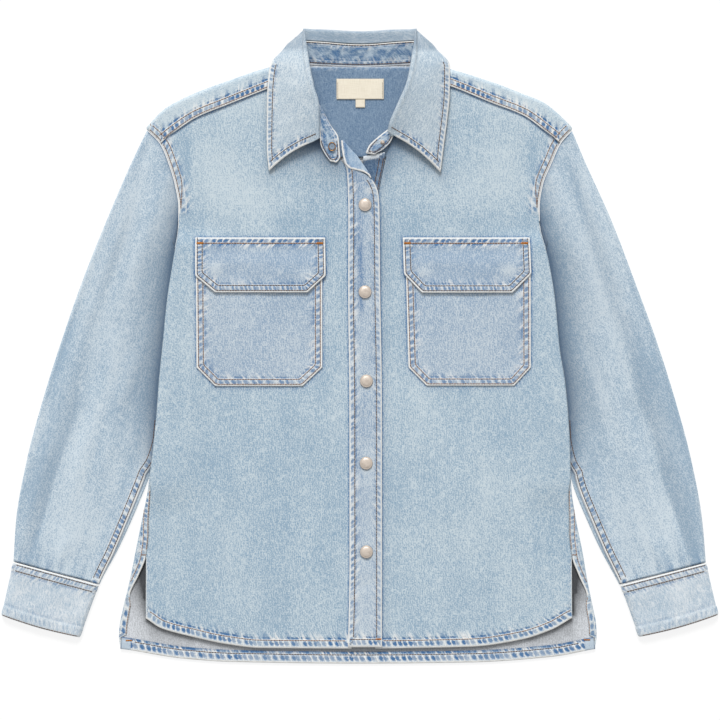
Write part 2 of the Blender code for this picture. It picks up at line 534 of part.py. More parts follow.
def cuff(side):
    outer_top, inner_top, outer_wrist, inner_wrist = (np.array(p) for p in CUFF[side])
    rings = []
    for t in (0, 0.16, 0.2, 0.84, 0.87, 1):
        outer = outer_top + (outer_wrist - outer_top) * t
        inner = inner_top + (inner_wrist - inner_top) * t
        bow = CUFF_BOW * t * (inner_wrist - inner_top) / np.hypot(*(inner_wrist - inner_top))
        proud = 0.0 if 0.18 < t < 0.85 else CUFF_PROUD
        rings.append(flat_ring(outer, inner, lambda inside, outside: CUFF_TOP + proud, CUFF_EDGE, CUFF_EDGE,
                               lambda s: bow * np.sin(np.pi * s), 7, 4))
    grid = np.array(rings)
    along = (outer_wrist - outer_top) / np.hypot(*(outer_wrist - outer_top))
    grid[..., :2] += along * SEAM_GAP
    if side == "right":
        grid = grid[::-1]
    wall("cuff_" + side, grid, CUFF_WALL, DENIM, ring=True)


# --- collar -------------------------------------------------------------------------------------------
def mirrored(section):
    flip = lambda p: (-p[0], p[1], p[2])
    return Section(flip(section.seam), flip(section.top), flip(section.roll), section.radius, section.lean,
                   180 - section.turn, flip(section.edge))


def fold_points(section):
    """From the stand's top over the roll to the collar's edge."""
    turn, lean = np.radians(section.turn), np.radians(section.lean)
    out = np.array([np.cos(turn), np.sin(turn), 0])
    up = np.array([0, 0, 1.0])
    centre = np.array(section.roll) - section.radius * (np.cos(lean) * out + np.sin(lean) * up)
    ring = [centre + section.radius * (np.cos(a) * out + np.sin(a) * up)
            for a in lean + np.radians([72, 36, 0, -36, -72])]
    return [np.array(section.top, float)] + ring + [np.array(section.edge, float)]


def collar():
    sections = (LEFT_LEAF + LEFT_SHOULDER + LEFT_BACK + BACK_MIDDLE
                + [mirrored(s) for s in reversed(LEFT_SHOULDER + LEFT_BACK)] + RIGHT_LEAF)
    rows = np.array([fold_points(s) for s in sections])
    at = np.concatenate([[0], np.cumsum(np.linalg.norm(np.diff(rows[:, 3], axis=0), axis=1))])
    fine = smooth(at, rows.reshape(len(rows), -1), np.linspace(0, at[-1], COLLAR_COLUMNS))
    fine = fine.reshape(COLLAR_COLUMNS, -1, 3)
    grid = []
    for row in fine:
        start, end = row[0], row[1]
        row[0] = start + (end - start) / np.linalg.norm(end - start) * SEAM_GAP
        leaf = row[5] + (row[6] - row[5]) * np.array([[0.25], [0.5], [0.75], [1.0]])
        leaf[:3, 2] += LEAF_SWELL
        grid.append(np.concatenate([row[:6], leaf]))
    wall("collar", np.array(grid), BAND_WALL, DENIM)
    stand(sections)


def stand(sections):
    ends = [np.array(pair, float) for pair in STAND_LEFT_END]
    middle = [np.array([s.seam, s.top], float) for s in sections]
    other = [np.array(pair, float) for pair in STAND_RIGHT_END]
    rows = np.array(ends + middle + other)
    at = np.concatenate([[0], np.cumsum(np.linalg.norm(np.diff(rows.mean(axis=1), axis=0), axis=1))])
    fine = smooth(at, rows.reshape(len(rows), -1), np.linspace(0, at[-1], STAND_COLUMNS))
    fine = fine.reshape(STAND_COLUMNS, 2, 3)
    tall = np.linalg.norm(fine[:, 1] - fine[:, 0], axis=1)
    shares = np.array([0, 0.5, 1.0]) * (1 - 2 * SEAM_GAP / tall)[:, None]
    grid = fine[:, :1] + (fine[:, 1:] - fine[:, :1]) * shares[..., None]
    wall("collar_stand", grid, BAND_WALL, DENIM)


# --- hard pieces and label ----------------------------------------------------------------------------
SNAP_STEEL = (0.72, 0.69, 0.63)
SOCKET_BRASS = (0.62, 0.47, 0.25)
LABEL_CLOTH = (0.86, 0.84, 0.76)
CROWN = 0.15                    # how far a turned piece's middle stands above its last ring


def turned(name, table, at, tilt=0.0, color=SNAP_STEEL, sides=14, closed_top=True):
    """A turned piece: its profile from the table, spun about its own upright axis."""
    r, z = column(table, "r"), column(table, "z")
    angle = np.linspace(0, 2 * np.pi, sides, endpoint=False)
    verts = [(a * np.cos(t), a * np.sin(t), b) for a, b in zip(r, z) for t in angle]
    following = [(j + 1) % sides for j in range(sides)]
    faces = [[i * sides + j, i * sides + k, (i + 1) * sides + k, (i + 1) * sides + j]
             for i in range(len(r) - 1) for j, k in enumerate(following)]
    last = (len(r) - 1) * sides
    if closed_top:
        verts += [(0, 0, z[-1] + CROWN), (0, 0, 0)]
        crown, foot = len(verts) - 2, len(verts) - 1
        faces += [[last + j, last + k, crown] for j, k in enumerate(following)]
        faces += [[k, j, foot] for j, k in enumerate(following)]
    else:
        faces += [[k, j, last + j, last + k] for j, k in enumerate(following)]
    obj = place(name, verts, faces, color, roughness=0.32, metallic=1.0, location=at, tilt=tilt)
    obj.data.shade_smooth()


def snaps():
    foot = (-7, 0, 7)
    for number, (x, y) in enumerate(SNAPS[1], 1):
        base = max(front_top(x + dx, y + dy) for dx in foot for dy in foot)
        turned(f"snap_{number}", SNAP_PROFILE, (x, y, base + SEAM_GAP + BAND_WALL + SEAM_GAP))
    turned("stand_socket", SOCKET_PROFILE, SOCKET_AT, SOCKET_TILT, SOCKET_BRASS, closed_top=False)
    turned("stand_stud", STUD_PROFILE, STUD_AT, STUD_TILT)


def label():
    base = 2 * WALL + SEAM_GAP
    for name, (left, right, low, high) in (("label", LABEL), ("size_tab", SIZE_TAB)):
        ys = np.linspace(high, low, 3)
        x, y = ruled(np.full(3, left), np.full(3, right), ys, np.linspace(0, 1, 5))
        grid = np.stack([x, y, np.full(x.shape, base + SEAM_GAP + LABEL_WALL)], axis=2)
        wall(name, grid, LABEL_WALL, LABEL_CLOTH)


def main():
    for obj in list(bpy.data.objects):
        bpy.data.objects.remove(obj, do_unlink=True)
    back()
    yoke_outer()
    yoke_inner()
    for side in ("left", "right"):
        front(side)
        sleeve(side)
        cuff(side)
        pocket(side)
    placket()
    collar()
    snaps()
    label()


main()
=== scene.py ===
import bpy
import numpy as np
from mathutils import Matrix, Vector
from mathutils.bvhtree import BVHTree


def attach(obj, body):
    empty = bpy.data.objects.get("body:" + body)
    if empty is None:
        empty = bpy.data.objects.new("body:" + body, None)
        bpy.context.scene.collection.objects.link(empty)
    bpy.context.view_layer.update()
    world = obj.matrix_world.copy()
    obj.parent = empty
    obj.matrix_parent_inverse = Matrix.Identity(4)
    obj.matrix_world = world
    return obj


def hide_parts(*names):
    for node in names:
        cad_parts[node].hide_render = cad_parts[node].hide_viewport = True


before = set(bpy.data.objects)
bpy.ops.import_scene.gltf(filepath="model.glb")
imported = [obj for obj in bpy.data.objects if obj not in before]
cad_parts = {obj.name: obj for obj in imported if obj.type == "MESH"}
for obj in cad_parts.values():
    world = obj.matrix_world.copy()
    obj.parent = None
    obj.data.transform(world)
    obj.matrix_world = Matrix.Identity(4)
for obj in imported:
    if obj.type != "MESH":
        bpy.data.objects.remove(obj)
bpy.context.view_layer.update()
mm = 0.001
signs = {"left": -1, "right": 1}
farOff = 60.0       # a distance that no seam reaches

cloth = {
    "wall": 1.2,            # one layer of denim
    "doubled": 1.6,         # placket band, collar and stand
    "cuffWall": 2.0,
    "seamGap": 0.3,
    "frontTop": 5.2,        # outer face of the fronts over the surface
    "armholeGap": 0.4,
    "yokeSeamY": 223.0,
    "neckHalf": 72.0,
    "neckY": 335.2,
    "neckRise": 2.8,
    "flatY": 152.0,         # the side folds start below this
    "ventY": -253.0,
    "lift": 3.6,            # the body's sides lie over the sleeves
    "liftFlat": 18.0,
    "liftOut": 84.0,
    "rest": -0.3,           # seams under the shirt are pressed flat here
}
yokeTop = cloth["frontTop"] + cloth["seamGap"] + cloth["wall"]

bodyEdge = {    # armhole above the underarm, side below it
    "y": [262, 258.5, 242, 222.4, 192.5, 166.6, 146, 103, 55, -5, -41, -82, -125, -158, -173, -209, -245,
          -281, -317, -335, -350, -366],
    "left": [259, 255, 239, 230.4, 221.4, 217.4, 217.6, 224.0, 231.4, 237.4, 241.0, 244.1, 248.4, 252.5,
             254.4, 261.6, 268.8, 276, 284.4, 288, 289.2, 287],
    "right": [258, 254, 239.4, 230.6, 218.6, 215, 215.4, 226, 234, 239.8, 245.6, 249.6, 252, 252.9,
              253.6, 259.2, 266.4, 272.6, 279.8, 283.2, 283.8, 281.5]}
sideWrap = {    # how far the back shows on the front beside its fold, and that fold's height
    "y": [146, -156, -176, -190, -209, -231, -253, -276, -298, -312, -349, -352.5, -366],
    "width": [0.1, 0.3, 3.7, 5.4, 8.2, 12.2, 13.6, 9.0, 4.0, 8.5, 9.4, 1.8, 1.8],
    "height": [3.0, 3.0, 3.0, 5.0, 5.2, 5.2, 5.2, 4.4, 3.4, 2.8, 2.6, 2.0, 2.0]}
liftWindow = {"y": [262, 143, 117, -160, -205, -366], "share": [0, 0, 1, 1, 0, 0]}
backHem = {
    "x": [-292, -286, -214, -153, 0, 132, 230, 281, 292],
    "y": [-363.0, -363.6, -375.0, -379.2, -381.2, -379.8, -373.1, -363.8, -362.0]}
frontHem = {
    "x": [-262, -257, -239, -202, -159, -120, 0, 132, 193, 230, 254, 262],
    "y": [-324, -326.6, -338.3, -348.6, -357.8, -362.2, -363, -360.8, -352.3, -340.1, -326.6, -323]}
shoulderFold = {
    "x": [72, 110, 163, 194, 216, 230, 255],
    "left": [341.4, 333.4, 315.4, 303.7, 293.2, 285.0, 259.4],
    "right": [341.4, 331.3, 314.2, 302.0, 293.0, 283.0, 258.8]}
yokeFront = {
    "x": [72, 110, 157, 196, 222, 240],
    "left": [322.6, 308.2, 289.5, 273.5, 256.2, 241.6],
    "right": [322.6, 310.4, 291.4, 275.9, 257.2, 242.8]}


# reading the tables
def smooth(xs, ys, at):
    xs, ys = np.asarray(xs, float), np.asarray(ys, float)
    if xs[0] > xs[-1]:
        xs, ys = xs[::-1], ys[::-1]
    step = np.diff(xs)
    slope = np.diff(ys, axis=0) / (step if ys.ndim == 1 else step[:, None])
    before, after = slope[:-1], slope[1:]
    middle = np.where(before * after > 0, 2 * before * after / (before + after + 1e-12), 0.0)
    ends = np.concatenate([slope[:1], middle, slope[-1:]])
    at = np.clip(at, xs[0], xs[-1])
    i = np.clip(np.searchsorted(xs, at, side="right") - 1, 0, len(step) - 1)
    u, h = (at - xs[i]) / step[i], step[i]
    if ys.ndim > 1:
        u, h = u[..., None], h[..., None]
    return (ys[i] * (1 + 2 * u) * (1 - u) ** 2 + ends[i] * h * u * (1 - u) ** 2
            + ys[i + 1] * u * u * (3 - 2 * u) - ends[i + 1] * h * u * u * (1 - u))


def look(table, name, at, key="y"):
    return smooth(table[key], table[name], np.asarray(at, float))


def straight(table, name, at, key="y"):
    xs, ys = np.array(table[key], float), np.array(table[name], float)
    order = np.argsort(xs)
    return np.interp(at, xs[order], ys[order])


def ease(value):
    value = np.clip(value, 0, 1)
    return value * value * (3 - 2 * value)


def bell(off, width):
    return np.exp(-(off / width) ** 2)


def trail(off, reach):
    # 1 up to an edge, then falling away
    return np.exp(-np.maximum(off, 0) / reach)


def softNoise(x, y, seed):
    # smooth random heights from -1 to 1 on a lattice one unit wide
    size = 64
    lattice = np.random.default_rng(seed).random((size, size)) * 2 - 1
    x, y = np.broadcast_arrays(np.asarray(x, float), np.asarray(y, float))
    column, row = np.floor(x).astype(int), np.floor(y).astype(int)
    u, v = ease(x - column), ease(y - row)

    def corner(i, j):
        return lattice[(row + j) % size, (column + i) % size]

    return ((corner(0, 0) * (1 - u) + corner(1, 0) * u) * (1 - v)
            + (corner(0, 1) * (1 - u) + corner(1, 1) * u) * v)


# creases: from x1 y1 to x2 y2, half width, height (below 0 is a trough)
creases = {
    "body": [
        (-236, 196, -268, 96, 9, 1.6), (-243, 148, -290, 40, 12, 1.3), (-262, 60, -318, -70, 15, 1.0),
        (-252, 20, -282, -60, 10, 1.3), (-300, -60, -352, -170, 14, 1.1), (-352, -232, -362, -262, 6, 0.9),
        (233, 200, 262, 104, 9, 1.5), (240, 150, 284, 46, 12, 1.4), (256, 66, 312, -62, 15, 1.1),
        (254, 10, 286, -78, 10, 1.2), (300, -66, 350, -168, 14, 1.0), (350, -230, 360, -262, 6, 1.0),
        (-120, -120, -60, -330, 26, 0.5), (90, -90, 130, -300, 30, 0.5)],
    "sleeve": [
        (-262, 214, -322, 40, 9, 1.5), (-284, 196, -350, 0, 9, -1.1), (-322, 40, -372, -130, 11, 1.3),
        (-346, 60, -388, -120, 9, -1.0), (-300, -30, -350, -190, 13, 1.1), (-330, -80, -366, -230, 9, -0.9),
        (-372, -120, -404, -236, 8, 1.2), (-276, -20, -312, -150, 9, 1.0), (262, 214, 318, 40, 9, 1.4),
        (282, 196, 346, 0, 9, -1.1), (316, 40, 368, -140, 12, 1.4), (344, 60, 386, -130, 9, -1.1),
        (296, -30, 346, -190, 13, 1.1), (326, -76, 362, -226, 9, -0.9), (370, -112, 402, -232, 8, 1.2),
        (272, -20, 306, -150, 9, 1.0)],
    "fine": [
        (-212, 218, -196, 142, 7, 0.7), (-200, 196, -178, 128, 9, -0.6), (-214, 120, -205, 30, 10, 0.5),
        (-226, 60, -232, -60, 8, 0.6), (-205, -60, -222, -190, 12, 0.5), (-60, 215, -84, 160, 10, 0.5),
        (-44, 196, -58, 138, 6, -0.5), (-160, -150, -190, -300, 16, 0.5), (-40, -100, -48, -250, 12, 0.4),
        (211, 220, 196, 146, 7, 0.7), (198, 190, 180, 128, 9, -0.6), (216, 118, 206, 24, 10, 0.5),
        (228, 50, 236, -66, 8, 0.6), (214, -70, 226, -200, 12, 0.5), (58, 212, 80, 158, 10, 0.5),
        (166, -140, 196, -290, 16, 0.5), (44, -60, 50, -230, 12, 0.5), (-286, 190, -330, 60, 14, 0.9),
        (-280, 140, -300, 70, 8, -0.7), (-334, 40, -372, -90, 16, 0.8), (-312, -20, -346, -120, 10, -0.6),
        (-372, -110, -398, -212, 13, 0.7), (-340, -150, -366, -236, 10, 0.6), (286, 188, 328, 58, 14, 0.9),
        (280, 136, 300, 66, 8, -0.7), (332, 36, 370, -94, 16, 0.8), (310, -24, 342, -124, 10, -0.6),
        (370, -112, 396, -210, 13, 0.7), (338, -150, 362, -232, 10, 0.6)]}
pleats = [(-397, -257, -381, -214, 1.9, 1), (396, -257, 378, -212, 1.9, -1)]     # foot, head, height, side


def ridges(x, y, rows):
    total = 0.0
    for x1, y1, x2, y2, width, height in rows:
        run = np.array([x2 - x1, y2 - y1], float)
        u = np.clip(((x - x1) * run[0] + (y - y1) * run[1]) / (run @ run), 0, 1)
        off = np.hypot(x - x1 - u * run[0], y - y1 - u * run[1])
        swell = 0.35 + 0.65 * np.sin(np.pi * (0.08 + 0.84 * u))
        total = total + height * bell(off, width) * swell
    return total


def pleatFold(x, y):
    # a fold that stands up sharply on its outer side and runs out softly on the other
    total = 0.0
    for x1, y1, x2, y2, height, side in pleats:
        run = np.array([x2 - x1, y2 - y1], float)
        length = np.hypot(*run)
        along = ((x - x1) * run[0] + (y - y1) * run[1]) / length ** 2
        off = ((x - x1) * run[1] - (y - y1) * run[0]) / length * side
        fade = ease((1.5 - along) / 1.2) * ease((along + 0.3) / 0.3)
        total = total + height * fade * ease((off + 0.8) / 1.6) * trail(off, 16)
    return total


sleeveShade = {    # the side of each long fold turned from the light: its line, depth and width each way
    "left": {
        "y": [252, 238, 194, 158, 116, 72, 28, -17, -52, -80, -135, -159, -194, -223, -259],
        "x": [256, 259, 272, 281, 292, 307, 323, 334, 340, 344, 361, 368, 377.4, 384.6, 395.2],
        "amount": [0.06, 0.2, 0.2, 0.2, 0.2, 0.19, 0.19, 0.2, 0.24, 0.28, 0.35, 0.4, 0.42, 0.4, 0.3],
        "inner": [4, 5, 6, 7, 8, 8, 8, 8, 6, 5, 3.5, 2.6, 2.0, 1.4, 0.8],
        "outer": [8, 12, 16, 20, 22, 24, 24, 24, 26, 28, 28, 26, 22, 18, 13]},
    "right": {
        "y": [240, 207, 173, 141, 88, 53, 19, -16, -50, -65, -105, -165, -200, -264],
        "x": [246, 255, 266.5, 276, 292, 303, 319, 331, 337, 340, 355, 367, 379, 396],
        "amount": [0.06, 0.2, 0.24, 0.25, 0.27, 0.28, 0.31, 0.34, 0.36, 0.37, 0.38, 0.37, 0.34, 0.26],
        "inner": [5, 6, 8, 8, 8, 8, 10, 10, 9, 8, 6, 4, 2.2, 0.8],
        "outer": [8, 10, 11, 12, 16, 20, 20, 24, 28, 30, 32, 30, 24, 13]}}


def foldShade(x, y, side):
    table = sleeveShade[side]
    off = (np.abs(x) - look(table, "x", y)) * 0.93
    wide = np.where(off > 0, look(table, "outer", y), look(table, "inner", y))
    return look(table, "amount", y) * bell(off, wide)


def drape(x, y):
    # how far the cloth lies off its flat place
    rolling = 0.35 * softNoise(x / 62, y / 88, 11) + 0.2 * softNoise(x / 27 + 5, y / 41, 12)
    fine = 0.09 * softNoise(x / 9, y / 15, 13)
    folds = sum(ridges(x, y, creases[name]) for name in ("body", "sleeve", "fine"))
    return folds + pleatFold(x, y) + rolling + fine


def lift(x, y):
    edge = np.where(x < 0, look(bodyEdge, "left", y), look(bodyEdge, "right", y))
    out = ease((cloth["liftOut"] - (edge - np.abs(x))) / (cloth["liftOut"] - cloth["liftFlat"]))
    return cloth["lift"] * look(liftWindow, "share", y) * out


def frontTop(x, y):
    return cloth["frontTop"] + lift(x, y) + drape(x, y)


# paths in plan
def pathOf(x, y):
    return np.stack([x, y], 1)


def nearPath(x, y, path):
    # distance to a path, and how far along it the nearest place is
    points = np.stack([np.ravel(x), np.ravel(y)], 1)
    best = np.full(len(points), 1e9)
    along = np.zeros(len(points))
    start = 0.0
    for a, b in zip(path[:-1], path[1:]):
        run = b - a
        length = np.hypot(*run)
        t = np.clip(((points - a) @ run) / length ** 2, 0, 1)
        off = np.hypot(*(points - a - t[:, None] * run).T)
        closer = off < best
        best[closer] = off[closer]
        along[closer] = start + t[closer] * length
        start += length
    return best.reshape(np.shape(x)), along.reshape(np.shape(x))


def runLengths(points):
    # how far along a path each of its points is
    return np.concatenate([[0], np.cumsum(np.linalg.norm(np.diff(points, axis=0), axis=1))])


def resample(path, step):
    path = np.asarray(path, float)
    at = runLengths(path)
    count = max(2, int(round(at[-1] / step)) + 1)
    stops = np.linspace(0, at[-1], count)
    return np.stack([np.interp(stops, at, path[:, k]) for k in range(path.shape[1])], 1)


def offsetPath(path, distance):
    # the path moved to its left, with square corners
    path = np.asarray(path, float)
    run = np.diff(path, axis=0)
    run /= np.linalg.norm(run, axis=1)[:, None]
    side = np.stack([-run[:, 1], run[:, 0]], 1)
    first, last = np.concatenate([side[:1], side]), np.concatenate([side, side[-1:]])
    middle = first + last
    middle /= np.linalg.norm(middle, axis=1)[:, None]
    return path + middle * (distance / np.sum(middle * first, axis=1))[:, None]


def spacing(length, fine, coarse, head, tail):
    # places along a length: close together over its head and tail, wider between
    head, tail = min(head, length * 0.3), min(tail, length * 0.3)
    parts = [np.linspace(0, head, int(np.ceil(head / fine)) + 1)[:-1]] if head else []
    middle = length - head - tail
    parts.append(np.linspace(head, length - tail, int(np.ceil(middle / coarse)) + 1))
    if tail:
        parts.append(np.linspace(length - tail, length, int(np.ceil(tail / fine)) + 1)[1:])
    return np.concatenate(parts)


def fitSpacing(stops, lengths, head, tail):
    # the same places fitted to rows of other lengths, with the head and tail kept at their size
    full = stops[-1]
    lengths = np.asarray(lengths, float)[:, None]
    keepHead = np.minimum(head, lengths * 0.3)
    keepTail = np.minimum(tail, lengths * 0.3)
    u = stops[None, :]
    low, high = min(head, full * 0.3), full - min(tail, full * 0.3)
    inHead = u / max(low, 1e-9) * keepHead
    inTail = lengths - (full - u) / max(full - high, 1e-9) * keepTail
    between = keepHead + (u - low) / (high - low) * (lengths - keepHead - keepTail)
    return np.where(u < low, inHead, np.where(u > high, inTail, between))


# sewing marks: what a stitched edge does to the cloth beside it
beadPitch = 6.0     # from one blue hollow to the next along a seam


def freshMarks(shape):
    names = ("height", "rise", "wear", "fade", "indigoAndShadow", "shade", "along", "down", "seed")
    return {"edge": np.full(shape, 9.0), **{name: np.zeros(shape) for name in names}}


def sewEdge(marks, distance, along, seam):
    band, pitch, seed = seam["band"], seam.get("pitch", 3.6), seam["seed"]
    reach, where = seam.get("reach", 9.0), np.broadcast_to(seam.get("where", 1.0), np.shape(distance))
    rope = softNoise((along + 0.4 * distance) / pitch, distance / 22, seed)
    rope = np.clip(rope * 1.7, -1, 1)
    pucker = softNoise((along + 0.3 * distance) / (pitch * 1.3), distance / 34, seed + 1)
    pucker = np.clip(pucker * 1.6, -1, 1)
    inside = ease(distance / 1.4) * (1 - ease((distance - band + 1.2) / 2.0))
    beyond = ease((distance - band) / 2.0) * trail(distance - band, reach)
    height = seam.get("rope", 0.5) * 0.5 * (rope + 1) * inside
    height += seam.get("pucker", 0.45) * 0.5 * (pucker + 1) * beyond
    for row in seam["rows"]:
        height -= 0.3 * bell(distance - row, 0.9)
    height -= 0.4 * (1 - ease(distance / 1.2))
    marks["height"] += height * where
    rise = seam.get("rise", 0.5) * (1 - ease((distance - band + 0.2) / 1.8)) * where
    marks["rise"] = np.maximum(marks["rise"], rise)
    closer = (distance / band < marks["edge"]) & (where > 0.02)
    found = {"edge": distance / band, "wear": seam.get("wear", 0.7) * where,
             "along": along * beadPitch / seam.get("bead", beadPitch), "seed": seed,
             "down": distance * seam.get("thin", 1.0) + seam.get("bare", 0.0)}
    for name, value in found.items():
        marks[name] = np.where(closer, value, marks[name])


def sewPath(marks, x, y, path, seam):
    distance, along = nearPath(x, y, resample(path, 4.0))
    sewEdge(marks, distance, along, seam)


def blueAndShadowLine(marks, x, y, path, amount=0.95, wide=1.5):
    # a dark blue line just outside a laid-on edge: indigo never rubbed there, and painted shadow of the edge
    distance, _ = nearPath(x, y, resample(path, 5.0))
    marks["indigoAndShadow"] += amount * bell(distance, wide)


# shells
def addObject(name, data):
    made = bpy.data.objects.new(name, data)
    bpy.context.scene.collection.objects.link(made)
    return made


def normalsOf(grid, ring):
    down = np.gradient(grid, axis=0)
    if ring:
        across = (np.roll(grid, -1, axis=1) - np.roll(grid, 1, axis=1)) / 2
    else:
        across = np.gradient(grid, axis=1)
    n = np.cross(down, across)
    return n / (np.linalg.norm(n, axis=2, keepdims=True) + 1e-9)


def shell(name, grid, wall, marks, grain, ring=False, keep=None, bothFaces=False):
    # a closed wall of cloth: its face follows the marks, its back stays plain
    n = normalsOf(grid, ring)
    face = grid + n * (marks["height"] + marks["rise"])[..., None]
    rows, columns = grid.shape[:2]
    count = rows * columns
    verts = np.concatenate([face.reshape(-1, 3), (grid - n * wall).reshape(-1, 3)])
    verts[:, 2] = np.maximum(verts[:, 2], cloth["rest"])
    i, j = np.meshgrid(np.arange(rows - 1), np.arange(columns if ring else columns - 1), indexing="ij")
    if keep is not None:
        kept = keep(i, j)
        i, j = i[kept], j[kept]
    i, j = i.ravel(), j.ravel()
    k = (j + 1) % columns
    quads = np.stack([i * columns + j, (i + 1) * columns + j, (i + 1) * columns + k, i * columns + k], 1)
    edges = np.concatenate([quads[:, [a, (a + 1) % 4]] for a in range(4)])
    code = edges[:, 0] * count + edges[:, 1]
    back = edges[:, 1] * count + edges[:, 0]
    rim = edges[~np.isin(code, back)]
    sides = np.stack([rim[:, 1], rim[:, 0], rim[:, 0] + count, rim[:, 1] + count], 1)
    faces = np.concatenate([quads, quads[:, ::-1] + count, sides])
    used = np.unique(faces)
    number = np.full(2 * count, -1)
    number[used] = np.arange(len(used))
    mesh = bpy.data.meshes.new(name)
    mesh.from_pydata((verts[used] * mm).tolist(), [], number[faces].tolist())
    inside = np.concatenate([np.zeros(count), np.full(count, 0.0 if bothFaces else 1.0)])
    names = ("edge", "wear", "fade", "indigoAndShadow", "shade")
    values = {key: np.concatenate([marks[key].ravel()] * 2) for key in names}
    values["inside"] = inside
    for key, value in values.items():
        made = mesh.attributes.new(key, "FLOAT", "POINT")
        made.data.foreach_set("value", value[used].astype(np.float32))
    seam = np.stack([marks["along"] * mm, marks["down"] * mm, marks["seed"]], -1)
    for key, value in (("cloth", grain * mm), ("seam", seam)):
        place = np.concatenate([value.reshape(-1, 3)] * 2)[used]
        made = mesh.attributes.new(key, "FLOAT_VECTOR", "POINT")
        made.data.foreach_set("vector", place.astype(np.float32).ravel())
    mesh.shade_smooth()
    return addObject(name, mesh)


def planGrain(x, y, turn=0.0, shift=0.0):
    # where the weave runs on a piece cut flat: its warp along y, turned by some degrees
    c, s = np.cos(np.radians(turn)), np.sin(np.radians(turn))
    return np.stack([x * c - y * s, x * s + y * c, np.full(np.shape(x), shift)], -1)


def surfaceGrain(grid, shift=0.0, swap=False):
    # where the weave runs on a shaped piece: along and across its own rows
    down = np.concatenate([np.zeros((1, grid.shape[1])),
                           np.cumsum(np.linalg.norm(np.diff(grid, axis=0), axis=2), axis=0)])
    across = np.concatenate([np.zeros((grid.shape[0], 1)),
                             np.cumsum(np.linalg.norm(np.diff(grid, axis=1), axis=2), axis=1)], 1)
    across = across - across.mean(axis=1, keepdims=True) + across.mean()
    pair = (down, across) if swap else (across, down)
    return np.stack([*pair, np.full(down.shape, shift)], -1)


def bandGrid(left, right, ys, count):
    # places between two edges, and each column's share of the way across
    share = np.linspace(0, 1, count)
    return left[:, None] + (right - left)[:, None] * share, np.repeat(ys[:, None], count, 1), share


def finishPiece(piece, node, material):
    piece.data.materials.append(material)
    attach(piece, "root")
    if node:
        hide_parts(node)


def dressed(piece, node, material):
    # a cloth piece: its finish set, fixed to the root, and its solid hidden
    finishPiece(piece, node, material)


# colours and finishes
def linear(red, green, blue):
    values = np.array([red, green, blue]) / 255
    return (*np.where(values < 0.04045, values / 12.92, ((values + 0.055) / 1.055) ** 2.4).tolist(), 1.0)


def startGroup(name, inputs, outputs):
    group = bpy.data.node_groups.new(name, "ShaderNodeTree")
    for label, kind, value in inputs:
        socket = group.interface.new_socket(name=label, in_out="INPUT", socket_type="NodeSocket" + kind)
        if value is not None:
            socket.default_value = value
    for label, kind in outputs:
        group.interface.new_socket(name=label, in_out="OUTPUT", socket_type="NodeSocket" + kind)
    return group, group.nodes.new("NodeGroupInput"), group.nodes.new("NodeGroupOutput")


def link(tree, value, socket):
    if isinstance(value, bpy.types.NodeSocket):
        tree.links.new(value, socket)
    else:
        socket.default_value = value


def addNode(tree, kind, inputs, **settings):
    # a node with its settings, and a link or a value for each input named
    node = tree.nodes.new("ShaderNode" + kind)
    for name, value in settings.items():
        setattr(node, name, value)
    for socket, value in inputs.items():
        link(tree, value, node.inputs[socket])
    return node


def math(tree, operation, *values, clamp=False):
    return addNode(tree, "Math", dict(enumerate(values)), operation=operation, use_clamp=clamp).outputs[0]


def times(tree, *values, clamp=False):
    return math(tree, "MULTIPLY", *values, clamp=clamp)


def timesPlus(tree, *values, clamp=False):
    return math(tree, "MULTIPLY_ADD", *values, clamp=clamp)


def stretched(tree, vector, across, along):
    # weave places measured in units of so many metres across and along the warp
    sizes = (1 / across, 1 / along, 100.0)
    return addNode(tree, "VectorMath", {0: vector, 1: sizes}, operation="MULTIPLY").outputs[0]


def noiseAt(tree, vector, detail=2.0, roughness=0.55):
    inputs = {"Vector": vector, "Scale": 1.0, "Detail": detail, "Roughness": roughness}
    return addNode(tree, "TexNoise", inputs).outputs["Fac"]


def ramped(tree, value, low, high, toLow=0.0, toHigh=1.0):
    inputs = {"Value": value, "From Min": low, "From Max": high, "To Min": toLow, "To Max": toHigh}
    return addNode(tree, "MapRange", inputs, interpolation_type="SMOOTHSTEP").outputs["Result"]


def mixed(tree, share, first, second):
    return addNode(tree, "Mix", {0: share, 6: first, 7: second}, data_type="RGBA").outputs[2]


